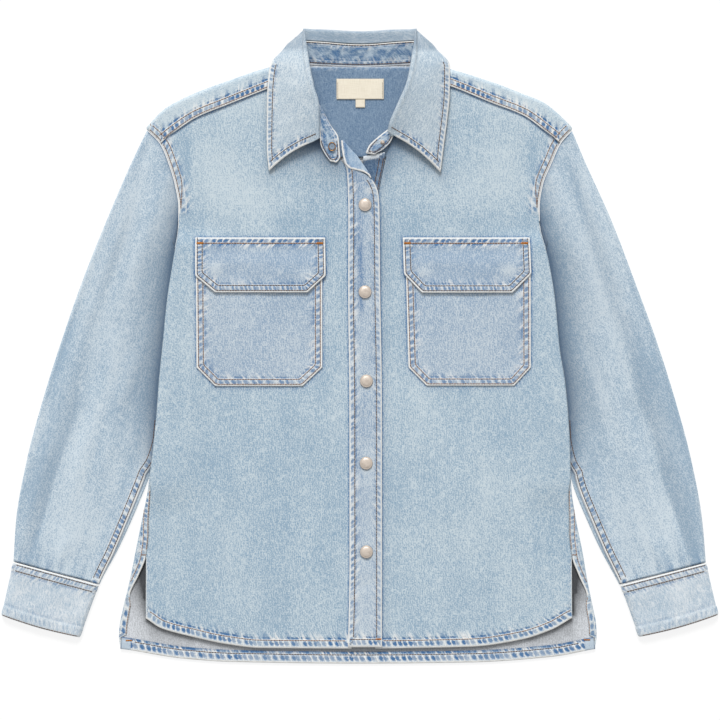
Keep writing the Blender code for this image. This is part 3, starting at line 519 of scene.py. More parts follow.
def makeWeaveGroup():
    # warp streaks, specks and loose fibres of a washed twill
    group, given, out = startGroup(
        "washedTwill",
        [("Cloth", "Vector", None), ("Streak", "Float", 0.5), ("Speck", "Float", 0.5),
         ("Cloud", "Float", 0.3)],
        [("Tone", "Float"), ("Height", "Float")])
    place = given.outputs["Cloth"]

    def noise(across, along, detail=2.0):
        return noiseAt(group, stretched(group, place, across, along), detail)

    streak, speck, cloud = noise(0.0012, 0.0085), noise(0.0012, 0.0018), noise(0.055, 0.09)
    wobble = addNode(group, "TexNoise", {"Vector": stretched(group, place, 0.009, 0.009), "Scale": 1.0})
    bends = {0: stretched(group, place, 0.010, 0.015), 1: wobble.outputs["Color"]}
    bent = addNode(group, "VectorMath", bends, operation="ADD").outputs[0]
    cells = addNode(group, "TexVoronoi", {"Vector": bent, "Scale": 1.0}, feature="DISTANCE_TO_EDGE")
    fibre = ramped(group, cells.outputs["Distance"], 0.0, 0.09, 1.0, 0.0)
    fibre = times(group, fibre, ramped(group, noise(0.012, 0.012, 1.0), 0.45, 0.62))
    tone = 0.5
    for value, label in ((streak, "Streak"), (speck, "Speck"), (cloud, "Cloud")):
        centred = math(group, "SUBTRACT", value, 0.5)
        tone = timesPlus(group, centred, times(group, given.outputs[label], 4.0), tone)
    split = addNode(group, "SeparateXYZ", {0: place}).outputs
    diagonal = timesPlus(group, split["Y"], 0.62, split["X"])
    onward = timesPlus(group, split["X"], -0.62, split["Y"])
    slanted = addNode(group, "CombineXYZ", {
        0: math(group, "DIVIDE", diagonal, 0.0015), 1: math(group, "DIVIDE", onward, 0.007)})
    drill = math(group, "SUBTRACT", noiseAt(group, slanted.outputs[0], detail=1.0), 0.5)
    tone = timesPlus(group, drill, times(group, given.outputs["Streak"], 2.4), tone)
    tone = timesPlus(group, fibre, 0.45, tone, clamp=True)
    twill = math(group, "SINE", times(group, diagonal, 2 * np.pi / 0.00085))
    height = timesPlus(group, twill, 0.35, times(group, speck, 1.2))
    group.links.new(tone, out.inputs["Tone"])
    group.links.new(height, out.inputs["Height"])
    return group


def makeWearGroup():
    # pale rubbed edges and ridge tops along a seam, and the indigo kept in the hollows between them
    group, given, out = startGroup(
        "stitchedEdgeWear",
        [("Cloth", "Vector", None), ("Seam", "Vector", None), ("Edge", "Float", 9.0),
         ("Strength", "Float", 0.0)],
        [("Worn", "Float"), ("Indigo", "Float"), ("Height", "Float")])
    edge, strength = given.outputs["Edge"], given.outputs["Strength"]
    along, down, seed = addNode(group, "SeparateXYZ", {0: given.outputs["Seam"]}).outputs
    grit = noiseAt(group, stretched(group, given.outputs["Cloth"], 0.0022, 0.0022), detail=3.0)
    grit = math(group, "SUBTRACT", grit, 0.5)

    def beads(pitch, slant, shift):
        # the seam cut into uneven lengths: how far a place is from its length's middle, that length's own
        # share, and how far the place is from its ends
        leaning = timesPlus(group, down, slant, timesPlus(group, grit, 0.003, along))
        place = timesPlus(group, leaning, 1 / pitch, times(group, seed, shift))
        inputs = {"W": place, "Scale": 1.0, "Randomness": 0.62}
        cell, ends = (addNode(group, "TexVoronoi", inputs, voronoi_dimensions="1D", feature=feature).outputs
                      for feature in ("F1", "DISTANCE_TO_EDGE"))
        own = addNode(group, "SeparateColor", {0: cell["Color"]})
        return cell["Distance"], own.outputs[0], ends["Distance"]

    def streaks(slant, across, deep):
        leaning = timesPlus(group, down, slant, along)
        join = addNode(group, "CombineXYZ", {
            0: math(group, "DIVIDE", leaning, across), 1: math(group, "DIVIDE", down, deep),
            2: times(group, seed, 1.7)})
        return noiseAt(group, join.outputs[0], detail=1.5, roughness=0.6)

    def oval(centre, size, middle, high):
        # soft ovals in a row at a depth in the band
        wide = math(group, "DIVIDE", centre, size)
        tall = math(group, "DIVIDE", math(group, "SUBTRACT", uneven, middle), high)
        around = math(group, "ADD", times(group, wide, wide), times(group, tall, tall))
        return ramped(group, timesPlus(group, grit, 2.2, around), 0.2, 1.35, 1.0, 0.0)

    uneven = timesPlus(group, grit, 0.2, edge)
    centre, own, gap = beads(0.006, 0.34, 3.7)
    otherCentre, otherOwn, _ = beads(0.0052, 0.5, 5.3)
    pucker = timesPlus(group, grit, 0.2, streaks(0.5, 0.0042, 0.028))
    strong = times(group, strength, ramped(group, streaks(0.0, 0.03, 0.5), 0.34, 0.58, 0.7, 1.0))
    inBand = ramped(group, edge, 0.94, 1.1, 1.0, 0.0)
    beyond = times(group, ramped(group, edge, 1.0, 1.1), ramped(group, edge, 1.1, 2.5, 1.0, 0.0))
    hollow = oval(centre, timesPlus(group, strength, 0.2, 0.2), 0.6, 0.36)
    hollow = times(group, hollow, ramped(group, own, 0.0, 0.6, 0.6, 1.0))
    dash = times(group, oval(otherCentre, 0.5, 1.28, 0.16), ramped(group, otherOwn, 0.1, 0.5, 0.25, 1.0))
    ridge = times(group, ramped(group, edge, 0.98, 1.04), ramped(group, edge, 1.08, 1.18, 1.0, 0.0))
    frayed = ramped(group, timesPlus(group, grit, 0.0022, down), 0.0015, 0.0025, 1.0, 0.0)
    line = times(group, frayed, times(group, strength, 1.5, clamp=True))
    parting = ramped(group, gap, 0.0, 0.17, 0.85, 0.4)
    pale = times(group, times(group, math(group, "SUBTRACT", 1.0, hollow), parting), inBand)
    pale = timesPlus(group, ramped(group, pucker, 0.52, 0.66, 0.0, 0.8), beyond, pale)
    pale = timesPlus(group, ridge, 0.45, pale, clamp=True)
    blue = timesPlus(group, ramped(group, pucker, 0.34, 0.48, 0.7, 0.0), beyond, hollow)
    blue = math(group, "ADD", blue, dash, clamp=True)
    worn = times(group, pale, times(group, strong, 0.9))
    group.links.new(math(group, "MAXIMUM", line, worn), out.inputs["Worn"])
    kept = times(group, times(group, blue, strong), math(group, "SUBTRACT", 1.0, line))
    group.links.new(kept, out.inputs["Indigo"])
    relief = times(group, math(group, "SUBTRACT", pale, blue), strong)
    group.links.new(relief, out.inputs["Height"])
    return group


weaveGroup = makeWeaveGroup()
wearGroup = makeWearGroup()


def attribute(tree, name, output="Fac"):
    return addNode(tree, "Attribute", {}, attribute_name=name).outputs[output]


def placed(tree, group, **values):
    return addNode(tree, "Group", values, node_tree=group).outputs


def startMaterial(name, roughness, metallic=0.0):
    material = bpy.data.materials.new(name)
    material.use_nodes = True
    shader = material.node_tree.nodes["Principled BSDF"]
    shader.inputs["Roughness"].default_value = roughness
    shader.inputs["Metallic"].default_value = metallic
    return material, material.node_tree, shader


def addBump(tree, shader, height, distance, strength=1.0):
    bump = addNode(tree, "Bump", {"Distance": distance, "Strength": strength, "Height": height})
    tree.links.new(bump.outputs["Normal"], shader.inputs["Normal"])


# deep is the colour that painted shade darkens towards
denim = {
    "pale": (200, 213, 220), "blue": (142, 168, 189), "worn": (236, 236, 233), "indigoAndShadow": (72, 114, 160),
    "deep": (74, 96, 122), "inside": (222, 226, 230), "streak": 0.5, "speck": 0.9, "cloud": 0.2,
    "roughness": 0.88}


def denimMaterial(name, **changes):
    tones = {**denim, **changes}
    material, tree, shader = startMaterial(name, tones["roughness"])
    place = attribute(tree, "cloth", "Vector")
    weave = placed(tree, weaveGroup, Cloth=place, Streak=tones["streak"], Speck=tones["speck"],
                   Cloud=tones["cloud"])
    wear = placed(tree, wearGroup, Cloth=place, Seam=attribute(tree, "seam", "Vector"),
                  Edge=attribute(tree, "edge"), Strength=attribute(tree, "wear"))
    tone = timesPlus(tree, attribute(tree, "fade"), 0.5, weave["Tone"], clamp=True)
    colour = mixed(tree, tone, linear(*tones["blue"]), linear(*tones["pale"]))
    # this mark holds kept indigo, and painted shadow lines beside laid-on edges
    patchy = times(tree, attribute(tree, "indigoAndShadow"), ramped(tree, weave["Tone"], 0.1, 0.9, 1.2, 0.7))
    indigoAndShadow = timesPlus(tree, wear["Indigo"], 0.8, patchy, clamp=True)
    colour = mixed(tree, indigoAndShadow, colour, linear(*tones["indigoAndShadow"]))
    colour = mixed(tree, wear["Worn"], colour, linear(*tones["worn"]))
    darkInside = linear(*[0.86 * c for c in tones["inside"]])
    inner = mixed(tree, weave["Tone"], darkInside, linear(*tones["inside"]))
    colour = mixed(tree, attribute(tree, "inside"), colour, inner)
    # painted shade: the shade mark darkens the colour towards deep
    shade = math(tree, "MINIMUM", attribute(tree, "shade"), 0.9)
    colour = mixed(tree, shade, colour, linear(*tones["deep"]))
    tree.links.new(colour, shader.inputs["Base Color"])
    shader.inputs["Sheen Weight"].default_value = 0.06
    shader.inputs["Sheen Roughness"].default_value = 0.6
    shader.inputs["Specular IOR Level"].default_value = 0.2
    addBump(tree, shader, timesPlus(tree, wear["Height"], 1.6, weave["Height"]), 0.00016, 0.8)
    return material


def threadMaterial(name, colour, dark):
    material, tree, shader = startMaterial(name, 0.7)
    place = tree.nodes.new("ShaderNodeTexCoord").outputs["Object"]
    strand = noiseAt(tree, stretched(tree, place, 0.0012, 0.0012), detail=2.0)
    twist = ramped(tree, strand, 0.35, 0.65)
    tree.links.new(mixed(tree, twist, linear(*dark), linear(*colour)), shader.inputs["Base Color"])
    addBump(tree, shader, strand, 0.0001)
    return material


def metalMaterial(name, bright, dull, roughness, metallic):
    material, tree, shader = startMaterial(name, roughness, metallic)
    place = tree.nodes.new("ShaderNodeTexCoord").outputs["Object"]
    patch = noiseAt(tree, stretched(tree, place, 0.0045, 0.0045), detail=3.0)
    grain = noiseAt(tree, stretched(tree, place, 0.0006, 0.0006), detail=2.0)
    share = math(tree, "MAXIMUM", ramped(tree, patch, 0.42, 0.66, 0.0, 0.26), attribute(tree, "rim"))
    tree.links.new(mixed(tree, share, linear(*bright), linear(*dull)), shader.inputs["Base Color"])
    dulled = ramped(tree, patch, 0.3, 0.7, roughness - 0.06, roughness + 0.12)
    tree.links.new(dulled, shader.inputs["Roughness"])
    addBump(tree, shader, grain, 0.00005, 0.6)
    return material


def labelMaterial():
    material, tree, shader = startMaterial("labelSatin", 0.6)
    place = attribute(tree, "cloth", "Vector")
    rib = noiseAt(tree, stretched(tree, place, 0.012, 0.0005), detail=2.0)
    warp = noiseAt(tree, stretched(tree, place, 0.0005, 0.012), detail=2.0)
    weave = times(tree, math(tree, "ADD", rib, warp), 0.5)
    colour = mixed(tree, ramped(tree, weave, 0.35, 0.65), linear(226, 216, 196), linear(240, 232, 214))
    folded = ramped(tree, attribute(tree, "edge"), 0.0, 0.4, 0.5, 0.0)
    tree.links.new(mixed(tree, folded, colour, linear(206, 190, 160)), shader.inputs["Base Color"])
    addBump(tree, shader, weave, 0.00008)
    return material


bodyDenim = denimMaterial("bodyDenim")
sleeveDenim = denimMaterial("sleeveDenim", pale=(206, 218, 226), blue=(150, 174, 194), deep=(76, 98, 122))
collarDenim = denimMaterial("collarDenim", pale=(212, 222, 228), blue=(160, 181, 198))
standDenim = denimMaterial("standDenim", pale=(182, 199, 213), blue=(92, 126, 162), speck=0.6)
trimDenim = denimMaterial("trimDenim", pale=(198, 209, 217), blue=(140, 163, 187))
cuffDenim = denimMaterial("cuffDenim", pale=(218, 225, 230), blue=(168, 188, 204), speck=0.45, cloud=0.3)
# the turned hem: bluer than the body's denim, and partly painted shade below the front's hem
hemDenim = denimMaterial("hemDenim", pale=(186, 200, 212), blue=(128, 154, 180), deep=(44, 66, 98))
turnedDenim = denimMaterial("turnedDenim", pale=(186, 203, 218), blue=(142, 170, 198), speck=0.4, streak=0.3)
# the yoke's facing inside the neck: a darker copy of the denim, partly painted shade
yokeFacing = denimMaterial(
    "yokeFacing", pale=(138, 159, 181), blue=(92, 120, 150), worn=(186, 197, 207), speck=0.5, streak=0.35)
# its deep colour is near black for the painted shade in the vents
insideDenim = denimMaterial("insideDenim", inside=(222, 226, 231), deep=(14, 18, 24))
# a darker copy of the denim for the band under the placket: deeper blue, and painted shade beneath the collar
bandBeneath = denimMaterial("bandBeneath", pale=(112, 134, 156), blue=(62, 90, 124), worn=(204, 211, 216))
tanThread = threadMaterial("tanThread", (118, 92, 76), (68, 56, 54))
warmThread = threadMaterial("warmThread", (164, 128, 106), (100, 78, 68))
paleThread = threadMaterial("paleThread", (184, 158, 142), (134, 108, 96))
amberThread = threadMaterial("amberThread", (158, 104, 50), (108, 66, 36))
orangeThread = threadMaterial("orangeThread", (196, 124, 36), (148, 88, 26))
snapMetal = metalMaterial("snapMetal", (220, 207, 194), (104, 88, 76), 0.42, 0.35)
socketBrass = metalMaterial("socketBrass", (186, 134, 76), (100, 72, 42), 0.34, 0.8)
socketPaint = metalMaterial("socketPaint", (150, 166, 182), (84, 98, 116), 0.5, 0.2)
labelSatin = labelMaterial()
print("finishes made")


# sewing thread: stitches laid on the cloth beneath them
thread = {
    "length": 3.2, "pitch": 3.2, "radius": 0.62, "lowered": -0.06, "sunk": 0.35, "lowest": 0.15,
    "steepest": 1.6, "barPitch": 0.62}


class Sewing:
    def __init__(self):
        self.found = []

    def row(self, path, tree, below=False):
        path = resample(path, 1.0)
        at = runLengths(path)
        half = thread["length"] / 2
        for middle in np.arange(half, at[-1] - half + 0.01, thread["pitch"]):
            stops = (middle - half, middle + half)
            self.stitch([[np.interp(stop, at, path[:, k]) for k in (0, 1)] for stop in stops], tree, below)

    def stitch(self, ends, tree, below=False):
        hits = []
        for x, y in ends:
            start = Vector((x * mm, y * mm, -0.05 if below else 0.08))
            point, normal, _, _ = tree.ray_cast(start, Vector((0, 0, 1 if below else -1)))
            if point is None:
                return
            place = np.array(point) / mm
            if below:
                place[2] = max(place[2] + thread["sunk"], thread["lowest"])
            hits.append((place, np.array(normal)))
        if abs(hits[0][0][2] - hits[1][0][2]) > thread["steepest"]:
            return
        self.found.append((hits[0][0], hits[1][0], hits[0][1] + hits[1][1]))

    def bartack(self, centre, tree, length, width):
        # short stitches side by side across a small bar
        for step in np.arange(-length / 2, length / 2 + 0.01, thread["barPitch"]):
            self.stitch([np.array(centre) + (step + 0.2 * s, s * width / 2) for s in (-1, 1)], tree)

    def build(self, name, material, radius=None):
        radius = radius or thread["radius"]
        first = np.array([f[0] for f in self.found])
        last = np.array([f[1] for f in self.found])
        up = np.array([f[2] for f in self.found])
        run = last - first
        length = np.linalg.norm(run, axis=1, keepdims=True)
        run /= length
        up -= run * np.sum(up * run, axis=1, keepdims=True)
        up /= np.linalg.norm(up, axis=1, keepdims=True)
        side = np.cross(run, up)
        middle = (first + last) / 2 - up * thread["lowered"]
        # each ring's share along a stitch, its width and its height
        rings = [(-0.5, 0.0, -0.4), (-0.44, 0.72, 0.0), (0.0, 1.0, 0.25), (0.44, 0.72, 0.0), (0.5, 0.0, -0.4)]
        sides = 5
        verts = []
        for share, wide, high in rings:
            around = [0.0] if wide == 0 else np.arange(sides) * 2 * np.pi / sides
            for a in around:
                verts.append(middle + run * length * share + up * radius * (high + wide * np.sin(a))
                             + side * radius * wide * np.cos(a))
        verts = np.stack(verts, 1)
        faces = []
        for j in range(sides):
            k = (j + 1) % sides
            faces.append([0, 1 + k, 1 + j])
            for ring in range(2):
                low = 1 + ring * sides
                faces.append([low + j, low + k, low + sides + k])
                faces.append([low + j, low + sides + k, low + sides + j])
            tip = 1 + 3 * sides
            faces.append([tip, tip - sides + j, tip - sides + k])
        faces = np.array(faces)
        count = verts.shape[1]
        every = (faces[None] + np.arange(len(verts))[:, None, None] * count).reshape(-1, 3)
        mesh = bpy.data.meshes.new(name)
        mesh.from_pydata((verts.reshape(-1, 3) * mm).tolist(), [], every.tolist())
        mesh.shade_smooth()
        mesh.materials.append(material)
        piece = addObject(name, mesh)
        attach(piece, "root")
        return piece


def sewRows(name, material, tree, paths, radius=None):
    sewing = Sewing()
    for path in paths:
        sewing.row(path, tree)
    return sewing.build(name, material, radius)


def treeOf(*pieces):
    verts, faces = [], []
    for piece in pieces:
        start = len(verts)
        verts += [tuple(v.co) for v in piece.data.vertices]
        faces += [[start + i for i in p.vertices] for p in piece.data.polygons]
    return BVHTree.FromPolygons(verts, faces)


# the lower back, rolled over its side folds
backPanel = {
    "foot": -366, "rowStep": 4.6, "hemStep": 1.6, "headZone": 8, "hemZone": 14, "columns": 96,
    "foldStops": 11, "stripStops": 9}
stripSeam = {
    "band": 6.4, "rows": (0.9, 6.0), "seed": 31, "pitch": 3.6, "rise": 0.35, "rope": 0.5, "wear": 0.9,
    "bead": 6.6, "bare": 4.0}
ventSlope = {"band": 7.0, "rows": (6.0,), "pitch": 3.6, "rise": 0.35, "rope": 0.3, "wear": 0.8, "bead": 7.5}
ventFoot = {
    "band": 7.0, "rows": (1.0,), "pitch": 4.4, "rise": 0.35, "rope": 0.5, "wear": 1.2, "bead": 9.5,
    "bare": 4.0}
ventShade = {    # the back seen in through a vent: how dark at each drop below its top, and its reach
    "drop": [0, 15, 24, 38, 52, 66, 80, 110], "depth": [1.5, 1.4, 1.25, 1.1, 0.86, 0.62, 0.3, 0.08],
    "reach": [28, 26, 24, 20, 16, 12, 9, 8]}


def sideRow(side, y):
    # a row's side: from under the body, round the fold and in over the front
    rolled = ease((cloth["flatY"] - y) / 10)
    high, wrap = look(sideWrap, "height", y), look(sideWrap, "width", y)
    radius = high / 2
    edge = look(bodyEdge, side, y) - (cloth["armholeGap"] if y > 146 else 0)
    wrap = max(wrap, radius + 0.8)
    turn = np.radians(np.linspace(-90, 90, backPanel["foldStops"]))
    share = np.linspace(0, 1, backPanel["stripStops"] + 1)[1:]
    x = np.concatenate([edge - radius + radius * np.cos(turn), edge - radius - (wrap - radius) * share])
    z = np.concatenate([radius + radius * np.sin(turn), np.full(len(share), high)])
    flat = edge - 15 + 15 * np.linspace(0, 1, len(x))
    return x * rolled + flat * (1 - rolled), z * rolled


def toHem(y, foot, last):
    # rows below the vent's top spread down to a curved hem
    ventY = cloth["ventY"]
    share = np.clip((ventY - y) / (ventY - last), 0, 1)
    return np.where(y < ventY, ventY + (foot - ventY) * share, y)


def makeBack():
    top = cloth["yokeSeamY"] - cloth["seamGap"]
    ys = top - spacing(top - backPanel["foot"], backPanel["hemStep"], backPanel["rowStep"],
                       backPanel["headZone"], backPanel["hemZone"])
    across = np.linspace(1, -1, backPanel["columns"])[1:-1]
    rows = []
    for level in ys:
        (rx, rz), (lx, lz) = sideRow("right", level), sideRow("left", level)
        inner = np.where(across > 0, rx[0] * across, lx[0] * across)
        wide = np.concatenate([rx[::-1], inner, -lx])
        high = np.concatenate([rz[::-1], np.zeros(len(across)), lz])
        rows.append(np.stack([wide, np.full(len(wide), level), high], 1))
    grid = np.array(rows)
    x, y, z = (grid[..., k] for k in range(3))
    y[:] = toHem(y, look(backHem, "y", x, key="x"), ys[-1])
    z += lift(x, y)
    marks = freshMarks(x.shape)
    columns = x.shape[1]
    above, below = ease((y - cloth["ventY"]) / 3), ease((-298 - y) / 4)
    window = ease((-160 - y) / 14)
    for end, seed in ((0, 31), (columns - 1, 33)):
        strip = np.abs(np.arange(columns) - end) <= backPanel["stripStops"] + 2
        near = strip[None, :] & (z > 1.0)
        distance = np.where(near, np.abs(x - x[:, end:end + 1]), farOff)
        parts = ((stripSeam, window * above), (ventSlope, (1 - above) * (1 - below)), (ventFoot, below))
        for seam, here in parts:
            sewEdge(marks, distance, -y, {**seam, "seed": seed, "where": np.where(near, here, 0)})
    # painted shade inside each vent: darkest at its top beside the front's edge
    drop = np.maximum(cloth["ventY"] - y, 0)
    depth, reach = (look(ventShade, name, drop, key="drop") for name in ("depth", "reach"))
    for side, sign in signs.items():
        apex = frontOuter(side, np.array([cloth["ventY"]]))[0]
        dark = depth * trail((x - apex) * sign, reach)
        dark = dark + 0.1 * softNoise(x / 5, y / 50, 37) * trail(drop, 60)
        here = (x * sign > 200) * (z < 1.0) * (y < cloth["ventY"] + 5)
        marks["shade"] += np.maximum(dark, 0) * here
    # painted shadow under the front's hem
    under = look(frontHem, "y", x, key="x") - y
    marks["shade"] += 0.42 * trail(under, 9) * (z < 1.0) * (np.abs(x) < 256)
    return shell("backShell", grid, cloth["wall"], marks, planGrain(x, y)), grid


# turned hem on the inside of the back, which shows below the fronts
hemFold = {"height": 14.2, "wall": 0.9, "block": 13.5, "ends": (-287.4, 282.2)}
hemFoldSeam = {
    "band": 9.8, "rows": (10.2,), "seed": 35, "pitch": 3.6, "rise": 0.2, "rope": 0.6, "pucker": 0,
    "wear": 1.25, "bead": 7.0}


def makeHemFold():
    x = np.linspace(*hemFold["ends"], 360)
    up = np.concatenate([[0, 0.5, 1.1], np.linspace(1.8, hemFold["height"], 11)])[::-1, None]
    foot = look(backHem, "y", x, key="x") + 0.2
    slope = np.gradient(foot, x)
    norm = np.hypot(1, slope)
    base = cloth["wall"] + 0.25 + hemFold["wall"]
    gx = x[None, :] - (slope / norm)[None, :] * up
    gy = foot[None, :] + (1 / norm)[None, :] * up
    grid = np.stack([gx, gy, np.full(gx.shape, base)], -1)
    marks = freshMarks(gx.shape)
    sewEdge(marks, *np.broadcast_arrays(up, x[None, :]), hemFoldSeam)
    fromTop = up - hemFold["height"]
    for at, inward in zip(hemFold["ends"], (1, -1)):
        out = (gx - at) * inward
        block = ease((hemFold["block"] - out) / 1.2)
        marks["height"] += 0.7 * block
        marks["fade"] += 2.4 * block * (0.6 + 0.4 * softNoise(gx / 3, gy / 3, 36))
        marks["wear"] *= 1 - block
        marks["indigoAndShadow"] += 0.95 * bell(out - hemFold["block"], 0.9) + 0.95 * block * bell(fromTop, 0.9)
        marks["indigoAndShadow"] += 0.8 * bell(out, 0.8)
    marks["indigoAndShadow"] += 0.6 * bell(fromTop, 0.8)
    fromEnd = np.minimum(gx - hemFold["ends"][0], hemFold["ends"][1] - gx)
    marks["shade"] += 0.55 * bell(fromTop, 0.9) + 0.7 * bell(fromEnd, 1.0)
    return shell("backHemFold", grid, hemFold["wall"], marks, planGrain(gx, gy)), grid


# fronts
frontPanel = {
    "head": 322, "foot": -362, "width": 250.0, "rowStep": 3.9, "fine": 1.5, "headZone": 6, "hemZone": 16,
    "columnStep": 2.9, "sideZone": 13}
frontInner = {
    "y": [322, 305, 283, 266, 250, 238, 224, 213, 200, 183, 160, -366],
    "left": [-73, -70, -60.5, -46.5, -29.5, -27.5, -24, -15, -10, -10, -10, -10],
    "right": [73, 70, 60.5, 49, 37, 34.5, 31, 28.4, 25.6, 22.6, 18.2, 18.2]}
frontShoulder = {
    "y": [322, 311, 286, 276, 260, 245.8], "left": [-84, -113, -177, -199, -222, -235.4],
    "right": [84, 117, 180, 204, 222.5, 235.6]}
doubleRows = {
    "band": 8.3, "rows": (2.3, 8.2), "pitch": 3.8, "rise": 0.55, "rope": 0.45, "wear": 0.85, "bead": 7.6,
    "thin": 1.35}
armholeSeam = {**doubleRows, "seed": 41}
frontHemSeam = {
    "band": 9.3, "rows": (9.4,), "seed": 43, "pitch": 4.0, "rise": 0.5, "rope": 0.75, "pucker": 0.5,
    "wear": 1.25, "bead": 6.4}
ventSeam = {"band": 2.2, "rows": (1.8,), "seed": 45, "rise": 0.2, "rope": 0.2, "pucker": 0.3, "wear": 0.4,
    "thin": 2.0}


def frontOuter(side, y):
    armhole = look(bodyEdge, side, y) - cloth["armholeGap"]
    tucked = look(bodyEdge, side, y) - look(sideWrap, "width", y) - cloth["seamGap"]
    share = ease((cloth["flatY"] - y) / 10)
    x = armhole * (1 - share) + tucked * share
    ventY = cloth["ventY"]
    ventX = look(bodyEdge, side, ventY) - look(sideWrap, "width", ventY) - cloth["seamGap"]
    x = np.where(y < ventY, ventX + (ventY - y) * 0.004, x)
    up = np.clip((y - 241) / 4.8, 0, 1)
    return signs[side] * (x * (1 - up) + np.abs(look(frontShoulder, side, np.maximum(y, 245.8))) * up)


def armholePath(side, top=245.0, bottom=152.0, inset=None):
    y = np.linspace(top, bottom, 50)
    path = pathOf(signs[side] * (look(bodyEdge, side, y) - cloth["armholeGap"]), y)
    return path if inset is None else offsetPath(path, inset * -signs[side])


def yokePath(side, low, high, count):
    x = np.linspace(low, high, count)
    return pathOf(signs[side] * x, look(yokeFront, side, x, key="x"))


def hemPath(table, low, high, inset=0.0):
    x = np.linspace(low, high, 120)
    path = pathOf(x, look(table, "y", x, key="x"))
    return offsetPath(path, inset) if inset else path


def pocketHalo(marks, x, y, side):
    # cloth round a pocket is drawn in a little, with a dark blue line at its edge: unrubbed indigo and
    # painted shadow
    distance, along = nearPath(x, y, resample(outline(pocketShape[side]), 5.0))
    pull = bell(distance, 7.0)
    marks["indigoAndShadow"] += 0.85 * bell(distance, 1.5) + 0.12 * bell(distance, 6.0)
    marks["height"] += 0.25 * pull * (softNoise(along / 5.0, distance / 20, 47) + 0.2)


def makeFront(side):
    head, zone = frontPanel["head"], frontPanel["sideZone"]
    ys = head - spacing(head - frontPanel["foot"], frontPanel["fine"], frontPanel["rowStep"],
                        frontPanel["headZone"], frontPanel["hemZone"])
    outer, inner = frontOuter(side, ys), look(frontInner, side, ys)
    stops = spacing(frontPanel["width"], frontPanel["fine"] + 0.2, frontPanel["columnStep"], zone, zone)
    first, last = (outer, inner) if side == "left" else (inner, outer)
    x = first[:, None] + fitSpacing(stops, last - first, zone, zone)
    foot = look(frontHem, "y", x, key="x")
    y = toHem(np.repeat(ys[:, None], x.shape[1], 1), foot, ys[-1])
    grid = np.stack([x, y, frontTop(x, y)], -1)
    marks = freshMarks(x.shape)
    sewPath(marks, x, y, armholePath(side), {**armholeSeam, "where": ease((y - 154) / 10)})
    sewPath(marks, x, y, hemPath(frontHem, -259, 259), frontHemSeam)
    edge = pathOf(np.full(9, frontOuter(side, np.array([-280.0]))[0]), np.linspace(-253, -330, 9))
    sewPath(marks, x, y, edge, {**ventSeam, "where": ease((-250 - y) / 8) * (y > foot + 9)})
    pocketHalo(marks, x, y, side)
    # dark lines of kept indigo and painted shadow beside the flap, the placket and the yoke
    flap = outline(flapShape[side])
    blueAndShadowLine(marks, x, y, np.concatenate([flap, flap[:1]]), 1.0, 2.0)
    bandY = np.linspace(214, -361, 80)
    blueAndShadowLine(marks, x, y, pathOf(look(bandShape, side, bandY), bandY))
    blueAndShadowLine(marks, x, y, yokePath(side, 74, 240, 40), 0.9, 2.2)
    marks["fade"] += washAndFoldShade(x, y)
    marks["shade"] += collarShade(x, y)
    # painted shadow to the right of the placket
    if side == "right":
        out = x - look(bandShape, "right", y)
        depth = 0.24 + 0.2 * ease((178 - y) / 20) * ease((y - 50) / 40)
        marks["shade"] += depth * trail(out, 5.5) * ease((206 - y) / 10)
    return shell("front" + side.title() + "Shell", grid, cloth["wall"], marks, planGrain(x, y))


leafEdges = [    # the collar's edges over the body: x y, then the depth and reach of the shade beneath
    [(-47, 249, 0.86, 19), (-74, 229, 0.56, 14), (-109, 208, 0.3, 8), (-112, 234, 0.2, 3.5),
     (-112, 330, 0.12, 3)],
    [(34, 256, 0.86, 18), (64, 231, 0.54, 13), (97, 206, 0.34, 8), (104, 262, 0.26, 4), (108, 330, 0.16, 3)],
    [(-48, 246, 0.5, 12), (-38, 224, 0.6, 12), (-28, 219, 0.6, 13), (-20, 226, 0.4, 8)],
    [(36, 240, 0.5, 9), (30, 204, 0.36, 7), (25, 182, 0.1, 5)]]


def collarShade(x, y):
    total = 0.0
    for rows in leafEdges:
        points = resample(np.array(rows, float), 4.0)
        off, along = nearPath(x, y, points[:, :2])
        at = runLengths(points[:, :2])
        depth, reach = (np.interp(along, at, points[:, k]) for k in (2, 3))
        total = total + depth * trail(off, reach)
    return total


# where the wash took more or less colour, and beside the armholes a painted band of fold shade: x y wide tall
# amount
washedAndShadedPlaces = [
    (-150, 190, 62, 34, 0.42), (-118, 170, 40, 26, 0.2), (124, 190, 56, 32, 0.36), (150, 216, 52, 30, 0.1),
    (-207, 208, 6, 42, -0.75), (207, 206, 6, 42, -0.6), (-172, 224, 26, 44, 0.4), (168, 224, 26, 40, 0.35),
    (-196, 150, 16, 26, -0.3), (200, 148, 16, 26, -0.3), (-90, 150, 60, 12, -0.3), (110, 150, 60, 12, -0.3),
    (-60, -330, 90, 40, -0.15), (120, -60, 50, 120, 0.1), (386, -40, 14, 120, -0.3), (388, 30, 12, 60, -0.2),
    (-274, 150, 22, 60, 0.55), (274, 150, 22, 60, 0.55), (-376, -216, 26, 40, 0.3), (374, -216, 26, 40, 0.25),
    (-150, 290, 90, 14, 0.5), (150, 290, 90, 14, 0.5),
    (-110, -180, 70, 100, -0.1), (-60, 118, 60, 22, -0.25), (90, 108, 60, 20, -0.2), (-312, 40, 24, 150, 0.5),
    (304, 40, 24, 150, 0.45), (-346, -150, 20, 90, 0.4), (342, -150, 20, 90, 0.35), (0, 60, 400, 200, -0.12)]


# wash fading, and painted fold shade beside the armholes
def washAndFoldShade(x, y):
    total = 0.16 * softNoise(x / 70, y / 90, 21) + 0.18 * softNoise(x / 22, y / 46, 22)
    total = total + 0.16 * softNoise(x / 5, y / 60, 23)
    for px, py, wide, tall, amount in washedAndShadedPlaces:
        total = total + amount * np.exp(-((x - px) / wide) ** 2 - ((y - py) / tall) ** 2)
    return total


